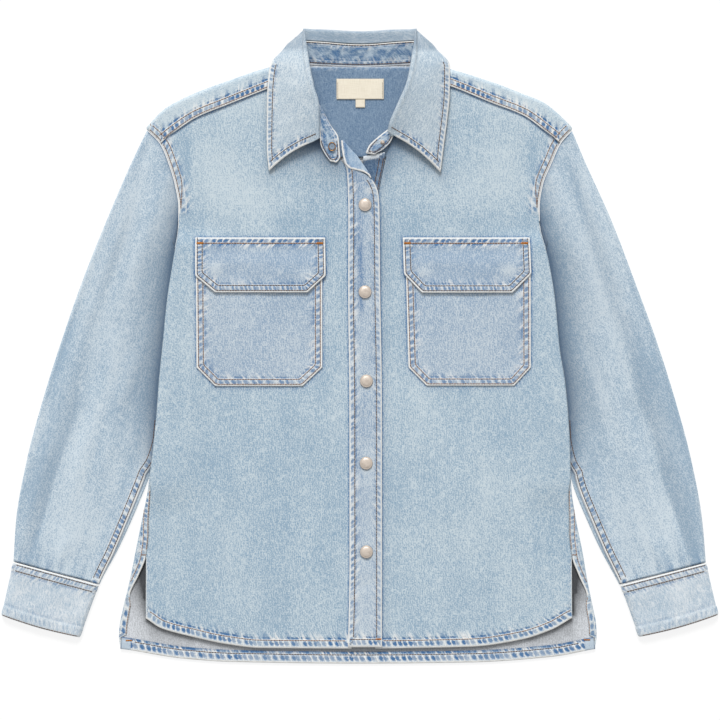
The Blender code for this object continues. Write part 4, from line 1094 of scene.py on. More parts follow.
# pockets and flaps
pocketShape = {
    "left": {"y": [92, -26, -48.5], "left": [-196.6, -195.8, -173.4], "right": [-45.2, -45.2, -69.0]},
    "right": {"y": [92, -26, -48.0], "left": [54.8, 58.1, 80.0], "right": [204.4, 204.7, 184.6]}}
flapShape = {
    "left": {"y": [129.8, 84, 63.8], "left": [-197.4, -197.4, -173.3], "right": [-41.8, -41.0, -63.1]},
    "right": {"y": [129.8, 86, 63.4], "left": [51.1, 52.6, 74.4], "right": [203.4, 205.2, 182.4]}}
pocketCloth = {    # steps of the grid, its fine zones, and where a flap leaves the front for the pocket
    "step": 1.9, "fine": 1.25, "zone": 11, "footZone": 35, "flapHead": 9, "flapFoot": 31, "flapTop": 118.0,
    "flapLow": 97.0}
pocketSeam = {
    "band": 8.3, "rows": (2.4, 8.2), "pitch": 3.4, "rise": 0.4, "rope": 0.5, "wear": 0.85, "bead": 8.0}
flapSeam = {"band": 8.5, "rows": (2.6, 8.4), "pitch": 3.2, "rise": 0.4, "rope": 0.5, "wear": 0.9, "bead": 5.0}
flapTopSeam = {
    "band": 6.8, "rows": (6.9,), "pitch": 3.8, "rise": 0.25, "rope": 0.8, "pucker": 0.7, "reach": 12,
    "wear": 1.3, "bead": 7.2, "thin": 1.5}
thumbWear = {"left": [(-173.3, 91.7), (-66.0, 85.0)], "right": [(76.0, 88.3), (179.3, 90.4)]}


def outline(shape):
    # the sides and bottom of a pocket, from its top left corner round to its top right
    left = list(zip(shape["left"], shape["y"]))
    right = list(zip(shape["right"], shape["y"]))
    return np.array(left + right[::-1], float)


def panelGrid(shape, ys):
    left, right = straight(shape, "left", ys), straight(shape, "right", ys)
    zone = pocketCloth["zone"]
    stops = spacing((right - left).max(), pocketCloth["fine"], pocketCloth["step"], zone, zone)
    x = left[:, None] + fitSpacing(stops, right - left, zone, zone)
    return x, np.repeat(ys[:, None], x.shape[1], 1)


def makePocket(side):
    top, foot = 92.0, min(pocketShape[side]["y"]) + 0.1
    stops = spacing(top - foot, pocketCloth["fine"], pocketCloth["step"], 0, pocketCloth["footZone"])
    x, y = panelGrid(pocketShape[side], top - stops)
    grid = np.stack([x, y, frontTop(x, y) + cloth["seamGap"] + cloth["wall"]], -1)
    marks = freshMarks(x.shape)
    sewPath(marks, x, y, outline(pocketShape[side]), {**pocketSeam, "seed": 51 if side == "left" else 53})
    marks["fade"] += washAndFoldShade(x, y) * 0.6
    return shell("pocket" + side.title() + "Shell", grid, cloth["wall"], marks, planGrain(x, y, 0, 40))


def flapOver(y):
    low, top = pocketCloth["flapLow"], pocketCloth["flapTop"]
    return cloth["seamGap"] + (cloth["wall"] + cloth["seamGap"] + 0.5) * ease((top - y) / (top - low))


def makeFlap(side):
    top, foot = max(flapShape[side]["y"]), min(flapShape[side]["y"]) + 0.1
    stops = spacing(top - foot, *(pocketCloth[key] for key in ("fine", "step", "flapHead", "flapFoot")))
    x, y = panelGrid(flapShape[side], top - stops)
    billow = 0.5 * bell(y - 88, 16) * (1 + softNoise(x / 30, y / 22, 57))
    billow += 1.0 * (1 - ease((y - foot) / 20)) * (1 + 0.6 * softNoise(x / 21, y / 60, 59))
    grid = np.stack([x, y, frontTop(x, y) + flapOver(y) + cloth["wall"] + billow], -1)
    marks = freshMarks(x.shape)
    shape = outline(flapShape[side])
    sewPath(marks, x, y, shape, {**flapSeam, "seed": 55 if side == "left" else 58})
    sewPath(marks, x, y, shape[[0, -1]], {**flapTopSeam, "seed": 60 if side == "left" else 62})
    marks["fade"] += washAndFoldShade(x, y) * 0.6 - 0.3
    for px, py in thumbWear[side]:
        near = np.exp(-((x - px) / 9) ** 2 - ((y - py) / 7) ** 2)
        marks["fade"] += 1.3 * near
        marks["height"] += 0.5 * near
    return shell("flap" + side.title() + "Shell", grid, cloth["wall"], marks, planGrain(x, y, 0, 50))


# placket
bandShape = {
    "y": [224, 216, 210, 200.6, 192, 181.4, 163, 67, -65, -257, -361.2],
    "left": [-21.2, -18, -16, -15.2, -14.8, -14.5, -14, -14.2, -12.8, -12.6, -14.4],
    "right": [-16, -8.5, -0.5, 13.4, 18.9, 22.2, 23.4, 24.3, 26.3, 26.4, 26.4]}
turnShape = {
    "y": [246, 243.5, 236.2, 227.8, 218.2, 212.8, 208.6, 205.6, 201.2],
    "left": [-22.6, -22.4, -21.8, -20.6, -18, -13.2, 3.6, 9, 12.6],
    "right": [-19.6, -17.6, -11.6, -3.4, 3.2, 7.2, 9.8, 11.8, 13.8]}
beneathShape = {
    "y": [229.4, 213, 200, 183, 172, 160, 140, -358.5], "left": [4, 3.4, 2, -4, -8.6, -9, -20, -20],
    "right": [30.5, 28, 25.2, 22.2, 19.2, 17.3, 17.3, 17.3], "top": [5.2, 5.2, 5.2, 5.2, 4.4, 3.7, 3.7, 3.7]}
bandCloth = {"rows": 344, "columns": 29}
bandSeam = {
    "band": 6.3, "rows": (6.4,), "pitch": 3.4, "rise": 0.35, "rope": 0.5, "pucker": 0.4, "reach": 6,
    "wear": 0.85, "bead": 7.4, "thin": 1.5}


def makePlacket():
    ys = np.linspace(max(bandShape["y"]), min(bandShape["y"]), bandCloth["rows"])
    left, right = look(bandShape, "left", ys), look(bandShape, "right", ys)
    x, y, share = bandGrid(left, right, ys, bandCloth["columns"])
    inward = x - left[:, None]
    belly = 0.5 * softNoise(y / 34, x / 60, 65) * np.sin(np.pi * share)[None, :]
    grid = np.stack([x, y, frontTop(x, y) + cloth["seamGap"] + cloth["doubled"] + np.abs(belly)], -1)
    marks = freshMarks(x.shape)
    sewPath(marks, x, y, pathOf(left, ys), {**bandSeam, "seed": 66})
    sewPath(marks, x, y, pathOf(right, ys), {
        **bandSeam, "seed": 68, "rope": 0.35, "wear": 0.62, "where": ease((202 - y) / 8)})
    sewEdge(marks, y - ys[-1], x, {
        "band": 9.3, "rows": (9.4,), "seed": 70, "rise": 0.5, "rope": 0.5, "wear": 1.2})
    streaks = softNoise(x / 7, y / 46, 71) + 0.6 * softNoise(x / 3, y / 17, 72)
    middle = bell(inward - 13, 6) + 0.4 * bell(x - right[:, None] + 9, 4)
    bluer = np.interp(y, [-361, -200, -60, 130, 185], [0.08, 0.12, 0.34, 0.36, 0.3])
    marks["indigoAndShadow"] += bluer * ease((streaks - 0.05) / 0.8) * middle
    kept = ease((126 - y) / 14) * ease((y - 22) / 26) * (0.75 + 0.45 * softNoise(x / 4, y / 12, 73))
    marks["indigoAndShadow"] += 0.72 * kept * bell(inward - 15.0 + (y - 60) * 0.02, 4.2)
    marks["fade"] += 0.5 * bell(inward - 9.0, 1.3)
    marks["fade"] += 0.35 * ease((-streaks - 0.1) / 0.7) + 0.35 * ease((-60 - y) / 120)
    fromTurn = np.abs(y - np.interp(x, [-20, 0, 14], [218, 211, 201]))
    marks["shade"] += collarShade(x, y) * 0.8 + 0.3 * trail(fromTurn, 5)
    return shell("placketShell", grid, cloth["doubled"], marks, planGrain(x, y, 0, 60))


def makeTurnback():
    ys = np.linspace(max(turnShape["y"]), min(turnShape["y"]), 40)
    left, right = straight(turnShape, "left", ys), straight(turnShape, "right", ys)
    x, y, _ = bandGrid(left, right, ys, 18)
    over = 2 * cloth["seamGap"] + cloth["doubled"] + 0.4 * ease((y - 213) / 30) + cloth["wall"]
    grid = np.stack([x, y, frontTop(x, y) + over], -1)
    marks = freshMarks(x.shape)
    sewPath(marks, x, y, pathOf(left, ys), {
        "band": 1.9, "rows": (), "seed": 74, "rise": 0.3, "rope": 0.2, "pucker": 0.3, "wear": 0.9})
    marks["indigoAndShadow"] += 0.6 * bell(x - left[:, None] - 4.4, 1.4)
    marks["indigoAndShadow"] += 0.35 * ease((softNoise(x / 5, y / 8, 75) - 0.1) / 0.5)
    marks["fade"] += 0.8 * softNoise(x / 4, y / 7, 77)
    return shell("placketTurnShell", grid, cloth["wall"], marks, planGrain(x, y, 20, 60))


def makeBandBeneath():
    head = max(beneathShape["y"])
    ys = np.linspace(head, min(beneathShape["y"]), 230)
    left, right = straight(beneathShape, "left", ys), straight(beneathShape, "right", ys)
    x, y, _ = bandGrid(left, right, ys, 20)
    slant = 0.19 * (x - 15) * (1 - ease((head - y) / 22))
    grid = np.stack([x, y + slant, straight(beneathShape, "top", y)], -1)
    marks = freshMarks(x.shape)
    sewPath(marks, x, y, pathOf(right, ys), {**bandSeam, "seed": 76, "wear": 0.5, "bare": 4.0})
    sewEdge(marks, head - y, x, {
        "band": 5.4, "rows": (), "seed": 78, "rise": 1.0, "rope": 0.2, "pucker": 0.2, "wear": 1.2,
        "thin": 0.36})
    marks["shade"] += 0.55 * bell(head - y - 8.6, 3.2) + 0.2 * ease((222 - y) / 6)
    return shell("bandBeneathShell", grid, cloth["wall"], marks, planGrain(x, y, 0, 70))


# yoke
yokePanel = {"sideStops": 79, "neckStops": 28, "flatStops": 22, "turnStops": 12}
yokeSeam = {
    **doubleRows, "seed": 81, "rope": 0.55, "pucker": 1.1, "reach": 14, "rise": 0.6, "wear": 1.4, "bead": 6.2,
    "thin": 0.95}


def yokeColumn(sign, share):
    side = "left" if sign < 0 else "right"
    neck = cloth["neckHalf"]
    radius = yokeTop / 2
    if sign:
        fold = float(look(shoulderFold, side, neck + share * (255 - neck), key="x")) - radius
        seam = 260.0
        for _ in range(8):      # settles where this column meets the front seam
            out = neck + share * (look(bodyEdge, side, seam) - cloth["armholeGap"] - neck)
            seam = float(look(yokeFront, side, out, key="x"))
    else:
        fold = seam = cloth["neckY"] + cloth["neckRise"] * float(ease(abs(share) / neck))
    base, flat = cloth["yokeSeamY"], yokePanel["flatStops"]
    turn, run = np.radians(np.linspace(-75, 90, yokePanel["turnStops"])), np.linspace(0, 1, flat)
    y = np.concatenate([base + (fold - base) * run, fold + radius * np.cos(turn),
                        fold + (seam - fold) * run[1:]])
    z = np.concatenate([np.zeros(flat), radius + radius * np.sin(turn), np.full(flat - 1, yokeTop)])
    wide = look(bodyEdge, side, y) - cloth["armholeGap"]
    x = (neck + share * (wide - neck)) * sign if sign else np.full(len(y), share)
    return np.stack([x, y, z], 1)


def makeYoke():
    count, flat = yokePanel["sideStops"], yokePanel["flatStops"]
    spread = np.linspace(0, 1, count)
    neck = np.linspace(-cloth["neckHalf"], cloth["neckHalf"], yokePanel["neckStops"] + 2)[1:-1]
    across = [(-1, s) for s in spread[::-1]] + [(0, x) for x in neck] + [(1, s) for s in spread]
    grid = np.stack([yokeColumn(*a) for a in across], 1)
    x, y = grid[..., 0], grid[..., 1]
    crown = flat + yokePanel["turnStops"] - 1       # the first row on top
    fromCrown = np.arange(grid.shape[0])[:, None] - crown
    ripple = 0.5 * (softNoise(x / 40, y / 30, 83) + 1) + 0.25 * (softNoise(x / 15, y / 14, 84) + 1)
    grid[..., 2] += ease((fromCrown + 3) / 6) * ripple
    marks = freshMarks(x.shape)
    for side, sign in signs.items():
        here = (fromCrown >= 0) & (x * sign > 60)
        sewPath(marks, x, y, yokePath(side, 72, 240, 60), {**yokeSeam, "where": here * 1.0})
        sewPath(marks, x, y, armholePath(side, 266, 232), {**armholeSeam, "seed": 86, "where": here * 1.0})
    marks["fade"] += washAndFoldShade(x, y) * 0.5 + 0.6

    def keep(i, j):
        # all but the neck's hole
        return (i < flat - 1) | (j < count - 1) | (j >= grid.shape[1] - count)

    return shell("yokeShell", grid, cloth["wall"], marks, planGrain(x, y, 90, 80), keep=keep)


def makeYokeFacing():
    ys = np.linspace(cloth["neckY"] - 0.4, 226, 48)
    wide = {}
    for side in signs:
        arm = look(bodyEdge, side, np.minimum(ys, 255)) - 12
        underFold = np.interp(ys + 10, shoulderFold[side][::-1], shoulderFold["x"][::-1])
        wide[side] = np.minimum(arm, underFold)
    x, y, _ = bandGrid(-wide["left"], wide["right"], ys, 120)
    z = 2 * cloth["wall"] + cloth["seamGap"] + 0.25 * softNoise(x / 20, y / 26, 88)
    z += 0.35 * bell(x, 2.5) * ease((y - 312) / 20)
    marks = freshMarks(x.shape)
    sewEdge(marks, ys[0] - y, x, {
        "band": 2.4, "rows": (), "seed": 89, "rise": 0.1, "rope": 0.5, "pucker": 1.0, "wear": 0.8,
        "thin": 2.0})
    return shell("yokeFacingShell", np.stack([x, y, z], -1), cloth["wall"], marks, planGrain(x, y, 4, 90))


# sleeves
sleeveOuter = {
    "t": [0, 0.07, 0.21, 0.35, 0.49, 0.63, 0.77, 0.905, 1.0],
    "leftX": [-255.4, -272.4, -303.6, -332.4, -357.6, -380.4, -399.6, -412.4, -415.6],
    "leftY": [258, 223, 151, 79, 7, -65, -137, -209, -258.5],
    "rightX": [254.4, 268.8, 301.2, 328.8, 355.2, 378, 397.2, 410.4, 414.7],
    "rightY": [257.6, 223, 151, 79, 7, -65, -137, -209, -259.7]}
sleeveInnerY = {"t": [0, 0.7, 1], "left": [145.5, -158, -286.3], "right": [145.5, -158, -286.4]}
sleeveTuck = {"y": [146, 116, 90, -110, -140, -157], "width": [-0.5, -0.5, 13, 13, 8, -0.6]}
sleeveFree = {
    "y": [-157, -173, -209, -245, -281, -290], "left": [252.4, 258.8, 273.9, 290.6, 310.0, 314.0],
    "right": [252.6, 257.4, 272.2, 288.8, 308.2, 312.8]}
sleeveThick = {"inside": [0, 17, 62, 400], "height": [3.2, 3.2, 6.2, 6.2]}
sleeveCloth = {
    "rings": 176, "width": 140.0, "top": 2.3, "seamStep": 1.2, "seamZone": 15, "bottomStops": 22,
    "edgeThick": 5.0, "foldThick": 3.2, "freeY": -157}
underarmSeam = {
    "band": 9.2, "rows": (2.6, 9.0), "pitch": 3.6, "rise": 0.6, "rope": 0.6, "pucker": 0.5, "wear": 1.0,
    "bead": 6.6}
underarmIn = {    # how far in from the sleeve's fold that seam starts
    "y": [-60, -160, -215, -262, -290], "left": [5.0, 4.8, 4.2, 2.0, 0.4], "right": [5.4, 5.2, 4.8, 3.0, 1.4]}
valley = {    # painted shade beside the body: how deep, and how far out
    "y": [240, 200, 176, 150, 120, 60, -60, -110, -150, -180, -290],
    "share": [0.1, 0.3, 0.5, 0.98, 1.05, 0.94, 1.0, 0.9, 0.5, 0, 0],
    "wide": [6, 9, 11, 14, 17, 21, 19, 13, 8, 5, 5]}


def flatRing(outer, inner, high, edgeHigh, innerHigh, shape, top, bottom, turnStops=7):
    # a flattened tube's section: over the top, round the inner fold, back beneath, round the outer fold
    run = inner - outer
    width = np.hypot(*run)
    run = run / width
    rOut, rIn = edgeHigh / 2, innerHigh / 2
    a = rOut + (width - rOut - rIn) * top
    turn = np.radians(np.linspace(90, -90, turnStops + 2))[1:-1]
    b = rOut + (width - rOut - rIn) * np.linspace(1, 0, bottom)
    across = np.concatenate([a, width - rIn + rIn * np.cos(turn), b, rOut - rOut * np.cos(turn)])
    z = np.concatenate([high(width - a, a), rIn + rIn * np.sin(turn), np.zeros(bottom),
                        rOut - rOut * np.sin(turn)])
    plan = outer + run * across[:, None] + shape(across / width)
    return np.column_stack([plan, z]), across, width


def sleeveInner(side, y):
    # the inner fold: tucked under the body, and free below that
    tucked = look(bodyEdge, side, y) - look(sleeveTuck, "width", y)
    return np.where(y > sleeveCloth["freeY"], tucked, look(sleeveFree, side, y))


def tube(name, side, grid, wall, marks, grain, bothFaces=False):
    # a shell all round, with its rows turned about on the right so that it faces outward
    if side == "right":
        grid, grain = grid[::-1], grain[::-1]
        marks = {key: value[::-1] for key, value in marks.items()}
    return shell(name + side.title() + "Shell", grid, wall, marks, grain, ring=True, bothFaces=bothFaces)


def makeSleeve(side):
    sign, edgeThick = signs[side], sleeveCloth["edgeThick"]
    ys = np.linspace(258.0, 145.5, 60)
    armhole = pathOf(sign * (look(bodyEdge, side, ys) + 0.1), ys)
    lengths = runLengths(armhole)
    lengths /= lengths[-1]

    def bulge(share):
        on = np.stack([np.interp(share, lengths, armhole[:, k]) for k in (0, 1)], -1)
        return on - (armhole[0] + (armhole[-1] - armhole[0]) * share[:, None])

    def high(inside, outside):
        full = look(sleeveThick, "height", inside, key="inside")
        return full - (full - edgeThick) * (1 - ease(outside / 40)) * (inside > 40)

    wide = sleeveCloth["width"]
    top = spacing(wide, sleeveCloth["seamStep"], sleeveCloth["top"], 6, sleeveCloth["seamZone"]) / wide
    rings, fromInner, topCount = [], [], len(top)
    for t in np.linspace(0, 1, sleeveCloth["rings"]):
        outer = np.array([float(look(sleeveOuter, side + axis, t, key="t")) for axis in "XY"])
        level = float(look(sleeveInnerY, side, t, key="t"))
        inner = np.array([sign * float(sleeveInner(side, level)), level])
        fade = float(1 - ease(t / 0.3))
        ring, across, width = flatRing(
            outer, inner, high, edgeThick, sleeveCloth["foldThick"], lambda s: bulge(s) * fade, top,
            sleeveCloth["bottomStops"])
        rings.append(ring)
        fromInner.append(width - across)
    grid, fromInner = np.array(rings), np.array(fromInner)
    x, y = grid[..., 0], grid[..., 1]
    hold = ease(np.minimum(np.arange(topCount), topCount - 1 - np.arange(topCount)) / 3.0)
    grid[:, :topCount, 2] += drape(x[:, :topCount], y[:, :topCount]) * hold
    marks = freshMarks(x.shape)
    isTop = np.arange(x.shape[1])[None, :] < topCount

    def onFace(name, amount):
        marks[name] += np.where(isTop, amount, 0)

    fromSeam = np.where(isTop, fromInner - look(underarmIn, side, y), farOff)
    along = runLengths(grid[:, topCount, :2])[:, None] + 0 * fromSeam
    sewEdge(marks, np.abs(fromSeam), along, {
        **underarmSeam, "seed": 91 if side == "left" else 93, "where": isTop * (fromSeam > -0.3) * 1.0})
    marks["wear"] *= 1 - 0.85 * ease((marks["edge"] - 1.04) / 0.1)
    onFace("shade", 0.85 * bell(fromSeam + 0.6, 0.8))
    distance, along = nearPath(x, y, armholePath(side, 258, 146))
    soft = softNoise(along / 9, distance / 40, 95) * trail(distance, 18) * ease(distance / 3)
    onFace("height", 0.55 * (soft + 0.2))
    onFace("indigoAndShadow", 0.3 * bell(distance, 3.0))
    onFace("shade", 0.85 * bell(distance, 1.3) * ease((y - 176) / 20))
    shoulder, wrist = (sign * 255, 258), cuffShape[side][0]
    distance, along = nearPath(x, y, np.array(cuffShape[side][:2]))
    gathers = softNoise(along / 8, distance / 60, 97) * trail(distance, 16)
    onFace("height", 0.8 * (gathers + 0.15) * ease(distance / 2))
    tick = softNoise(along / 3.4, distance / 13, 105)
    onFace("fade", 1.5 * tick * trail(distance, 9))
    onFace("indigoAndShadow", 0.25 * bell(distance, 2.0) + 0.45 * ease((-tick - 0.25) / 0.4) * trail(distance, 8))
    onFace("shade", 0.75 * bell(distance, 1.2))
    # painted shade in the valley beside the body
    beside = np.abs(x) - look(bodyEdge, side, y)
    onFace("shade", look(valley, "share", y) * trail(beside, look(valley, "wide", y)))
    marks["fade"] += washAndFoldShade(x, y)
    slope = np.arctan2(wrist[0] - shoulder[0], shoulder[1] - wrist[1])
    acrossSleeve, downSleeve = x * np.cos(slope) + y * np.sin(slope), y * np.cos(slope) - x * np.sin(slope)
    marks["fade"] += 0.4 * softNoise(acrossSleeve / 13, downSleeve / 110, 98)
    marks["fade"] += 0.22 * softNoise(acrossSleeve / 4, downSleeve / 60, 99)
    # painted shade on each fold's side turned from the light, both darker and bluer
    turned = foldShade(x, y, side)
    onFace("shade", 0.5 * turned)
    onFace("fade", -1.9 * turned)
    grain = planGrain(x, y, -np.degrees(slope), 100)
    grain[..., 2] += np.where(isTop, 0, 30)
    return tube("sleeve", side, grid, cloth["wall"], marks, grain)


# cuffs
cuffShape = {    # sleeve end outer and inner, wrist outer and inner
    "left": ((-415.6, -258.6), (-313.2, -286.4), (-429.6, -323.0), (-336.0, -349.2)),
    "right": ((414.7, -259.8), (312.2, -286.5), (429.2, -322.3), (334.8, -348.6))}
cuffCloth = {
    "deep": 66.0, "top": 7.6, "fold": 6.0, "bow": 2.2, "rings": 44, "topStops": 62, "bottomStops": 16,
    "turnStops": 9}
cuffTopSeam = {
    "band": 9.4, "rows": (2.4, 9.4), "pitch": 3.4, "rise": 0.5, "rope": 0.4, "pucker": 0.5, "wear": 0.7,
    "bead": 4.6, "thin": 1.7}
cuffFootSeam = {
    "band": 11.5, "rows": (1.1,), "pitch": 4.4, "rise": 0.35, "rope": 0.7, "pucker": 0.3, "wear": 0.3,
    "bead": 6.4}


def cuffEnds(side, t):
    outerTop, innerTop, outerWrist, innerWrist = (np.array(p) for p in cuffShape[side])
    along = (outerWrist - outerTop) / np.hypot(*(outerWrist - outerTop))
    outer = outerTop + (outerWrist - outerTop) * t + along * cloth["seamGap"]
    inner = innerTop + (innerWrist - innerTop) * t + along * cloth["seamGap"]
    bow = cuffCloth["bow"] * t * (innerWrist - innerTop) / np.hypot(*(innerWrist - innerTop))
    return outer, inner, bow


def makeCuff(side):
    topCount, deep = cuffCloth["topStops"], cuffCloth["deep"]
    top, shares = np.linspace(0, 1, topCount), np.linspace(0, 1, cuffCloth["rings"])

    def high(inside, outside):
        return np.full(len(inside), cuffCloth["top"])

    rings = []
    for t in shares:
        outer, inner, bow = cuffEnds(side, t)
        ring, _, _ = flatRing(
            outer, inner, high, cuffCloth["fold"], cuffCloth["fold"],
            lambda s: bow * np.sin(np.pi * s)[:, None], top, cuffCloth["bottomStops"], cuffCloth["turnStops"])
        rings.append(ring)
    grid = np.array(rings)
    x, y = grid[..., 0], grid[..., 1]
    crown = np.clip(np.minimum(np.arange(topCount), topCount - 1 - np.arange(topCount)) / 4.0, 0, 1)
    ripple = 0.35 * softNoise(x / 24, y / 20, 101) + 0.2 * softNoise(x / 11, y / 9, 102)
    grid[:, :topCount, 2] -= 0.8 * (1 - ease(crown))
    grid[:, :topCount, 2] += ripple[:, :topCount]
    marks = freshMarks(x.shape)
    down = np.repeat((shares * deep)[:, None], x.shape[1], 1)
    around = runLengths(grid[0, :, :2])[None, :] + 0 * down
    seed = 103 if side == "left" else 107
    sewEdge(marks, down, around, {**cuffTopSeam, "seed": seed})
    sewEdge(marks, deep - down, around, {**cuffFootSeam, "seed": seed + 2})
    marks["fade"] += 0.2 * softNoise(x / 14, y / 12, seed + 1)
    (topX, topY), (wristX, wristY) = cuffShape[side][0], cuffShape[side][2]
    lean = np.degrees(np.arctan2(wristX - topX, topY - wristY))
    return tube("cuff", side, grid, cloth["cuffWall"], marks, planGrain(x, y, -lean, 110), bothFaces=True)


# collar and stand, by sections from the left front end round the back to the right front end.
# seam and top: the stand's edges; roll: the fold's outermost place; lean: 90 stands up, 0 lies back
sectionNames = ("seam", "top", "roll", "radius", "lean", "turn", "edge")
standLeftEnd = [((-28, 219.4, 7.4), (-36, 221, 7.8)), ((-23.6, 226, 7.6), (-43.2, 231, 8.8)),
                ((-24.5, 238, 7.8), (-48, 242, 10.4))]
standRightEnd = [((20, 249, 7.6), (37.4, 244.6, 9.8)), ((10.4, 239.4, 7.6), (29.0, 235.8, 8.8)),
                 ((6.6, 230.6, 7.4), (17.4, 229.0, 7.8))]
leftLeaf = [
    ((-25.6, 249.5, 7.8), (-48.6, 251, 12.0), (-50, 247.5, 16), 3.0, 112, 212, (-109.2, 209.2, 9.0)),
    ((-35.4, 265, 6.8), (-50.6, 268, 16), (-50, 266, 20.5), 3.1, 110, 206, (-111.6, 234, 9.2)),
    ((-45.4, 284, 6.0), (-54, 287, 19.5), (-50.8, 286, 24), 3.2, 108, 197, (-111.8, 264, 9.6)),
    ((-58.5, 306, 5.0), (-60, 308, 21), (-56.6, 308, 26), 3.2, 106, 186, (-111.3, 300, 10))]
leftShoulder = [
    ((-68.6, 322, 4.8), (-65.5, 327, 19), (-62, 330, 24), 3.3, 98, 175, (-108, 334, 9.4)),
    ((-66, 333.5, 4.2), (-67, 350, 14.5), (-66.4, 355, 19), 3.5, 72, 152, (-94, 353, 6.5))]
leftBack = [
    ((-60, 338.4, 3.4), (-65, 365.5, 11), (-67.6, 379.6, 10), 3.2, 26, 114, (-79.5, 365.5, 1.8)),
    ((-46, 337.4, 3.1), (-50, 364.8, 9.0), (-54, 379.6, 4.3), 4.2, 4, 92, (-55, 353, 0.0))]
backMiddle = [((0, 335.8, 3.0), (0, 361.6, 8.2), (0, 376.8, 4.2), 4.2, 0, 90, (0, 352, 0.0))]
rightLeaf = [
    ((66, 305, 4.8), (59, 308, 21), (55.4, 308, 26), 3.2, 106, -6, (107.6, 302, 10)),
    ((56.5, 283, 5.2), (50, 287, 19.5), (44.6, 284, 24), 3.2, 108, -15, (104.6, 270, 9.6)),
    ((44, 267, 6.2), (43, 267, 16), (37, 266, 20), 3.1, 110, -26, (100.6, 240, 9.2)),
    ((30, 257, 7.6), (39.6, 250, 11.6), (34.4, 255.6, 15.6), 3.0, 112, -38, (96.6, 207.4, 9.0))]
collarCloth = {
    "around": 480, "across": 82.0, "fine": 1.1, "step": 2.0, "endZone": 12, "edgeZone": 10, "bow": 3.8,
    "bowFade": 46.0, "nearEnd": 70}
collarSeam = {
    "band": 7.2, "rows": (7.2,), "pitch": 3.4, "rise": 0.35, "rope": 0.5, "pucker": 0.35, "reach": 6,
    "wear": 0.9, "bead": 5.4}
standSeam = {
    "band": 5.0, "rows": (1.6,), "pitch": 4.5, "rise": 0.1, "rope": 0.6, "pucker": 0.9, "reach": 12,
    "wear": 0.7, "bead": 6.0}


def mirrored(section):
    seam, top, roll, radius, lean, turn, edge = section
    seam, top, roll, edge = ((-x, y, z) for x, y, z in (seam, top, roll, edge))
    return seam, top, roll, radius, lean, 180 - turn, edge


def foldPoints(section):
    part = dict(zip(sectionNames, section))
    turn, lean = np.radians(part["turn"]), np.radians(part["lean"])
    out, up = np.array([np.cos(turn), np.sin(turn), 0]), np.array([0, 0, 1.0])
    centre = np.array(part["roll"]) - part["radius"] * (np.cos(lean) * out + np.sin(lean) * up)
    ring = [centre + part["radius"] * (np.cos(a) * out + np.sin(a) * up)
            for a in lean + np.radians([72, 36, 0, -36, -72])]
    return [np.array(part["top"], float)] + ring + [np.array(part["edge"], float)]


def collarSections():
    return (leftLeaf + leftShoulder + leftBack + backMiddle
            + [mirrored(s) for s in (leftShoulder + leftBack)[::-1]] + rightLeaf)


def roundCurve(points, stops):
    # a smooth curve through points at places along it
    at = runLengths(points)
    return smooth(at, points, stops * at[-1])


def makeCollar():
    rows = np.array([foldPoints(s) for s in collarSections()])
    at = runLengths(rows[:, 3])
    around, across = collarCloth["around"], collarCloth["across"]
    stations = spacing(1.0, *(collarCloth[key] / around for key in ("fine", "step", "endZone", "endZone")))
    fine = smooth(at, rows.reshape(len(rows), -1), stations * at[-1]).reshape(len(stations), -1, 3)
    profiles = []
    fromStart = stations * at[-1]
    for row, near in zip(fine, np.minimum(fromStart, at[-1] - fromStart)):
        start, end = row[0], row[1]
        begin = start + (end - start) / np.linalg.norm(end - start) * cloth["seamGap"]
        share = np.array([[0.25], [0.5], [0.75], [1.0]])
        leaf = row[5] + (row[6] - row[5]) * share
        leaf[:3, 2] += np.array([0.8, 1.0, 0.7])
        out = (row[6, :2] - row[5, :2]) / np.hypot(*(row[6, :2] - row[5, :2]))
        behind = np.array([out[1], -out[0]]) * (1 if row[6, 0] < 0 else -1)
        bow = collarCloth["bow"] * bell(near, collarCloth["bowFade"])
        leaf[:, :2] += behind * bow * np.sin(np.pi * share)
        profiles.append(np.concatenate([[begin], row[1:6], leaf]))
    stops = spacing(across, collarCloth["fine"], collarCloth["step"], 0, collarCloth["edgeZone"]) / across
    grid = np.array([roundCurve(p, stops) for p in profiles])
    toEdge = np.array([(1 - stops) * runLengths(p)[-1] for p in profiles])
    alongEdge = np.repeat(runLengths(grid[:, -1])[:, None], len(stops), 1)
    marks = freshMarks(grid.shape[:2])
    sewn = ease((344 - grid[:, -1, 1]) / 10)[:, None]
    sewEdge(marks, toEdge, alongEdge, {**collarSeam, "seed": 111, "where": sewn})
    onLeaf = ease((np.arange(len(stops)) / (len(stops) - 1) - 0.2) / 0.08)[None, :]
    for end, seed in ((0, 113), (-1, 115)):
        other = grid[end]
        distance, along = [], []
        lengths = runLengths(other)
        for row in grid:
            off = np.linalg.norm(row[:, None, :2] - other[None, :, :2], axis=2)
            distance.append(off.min(axis=1))
            along.append(lengths[off.argmin(axis=1)])
        distance = np.array(distance)
        fromEnd = np.arange(len(grid)) if end == 0 else len(grid) - np.arange(len(grid))
        near = fromEnd < collarCloth["nearEnd"]
        sewEdge(marks, np.where(near[:, None], distance, farOff), np.array(along),
                {**collarSeam, "seed": seed, "where": onLeaf * near[:, None], "wear": 1.2, "thin": 0.8})
    wave = softNoise(alongEdge / 34, toEdge / 26, 117) + 0.5 * softNoise(alongEdge / 15, toEdge / 14, 118)
    marks["height"] += 0.3 * (wave + 0.6) * ease(toEdge / 4)
    marks["fade"] += 0.15 * softNoise(alongEdge / 30, toEdge / 20, 119)
    # painted shade darkens the back of the collar, which is also bluer and mottled there
    atBack = ease((grid[..., 1] - 350) / 8)
    marks["fade"] -= 0.7 * atBack * bell(stops[None, :] - 0.12, 0.1)
    marks["fade"] += 0.35 * atBack * softNoise(alongEdge / 7, toEdge / 6, 122)
    marks["shade"] += 0.3 * atBack
    grain = surfaceGrain(grid, 120)
    return shell("collarShell", grid, cloth["doubled"], marks, grain, bothFaces=True), profiles


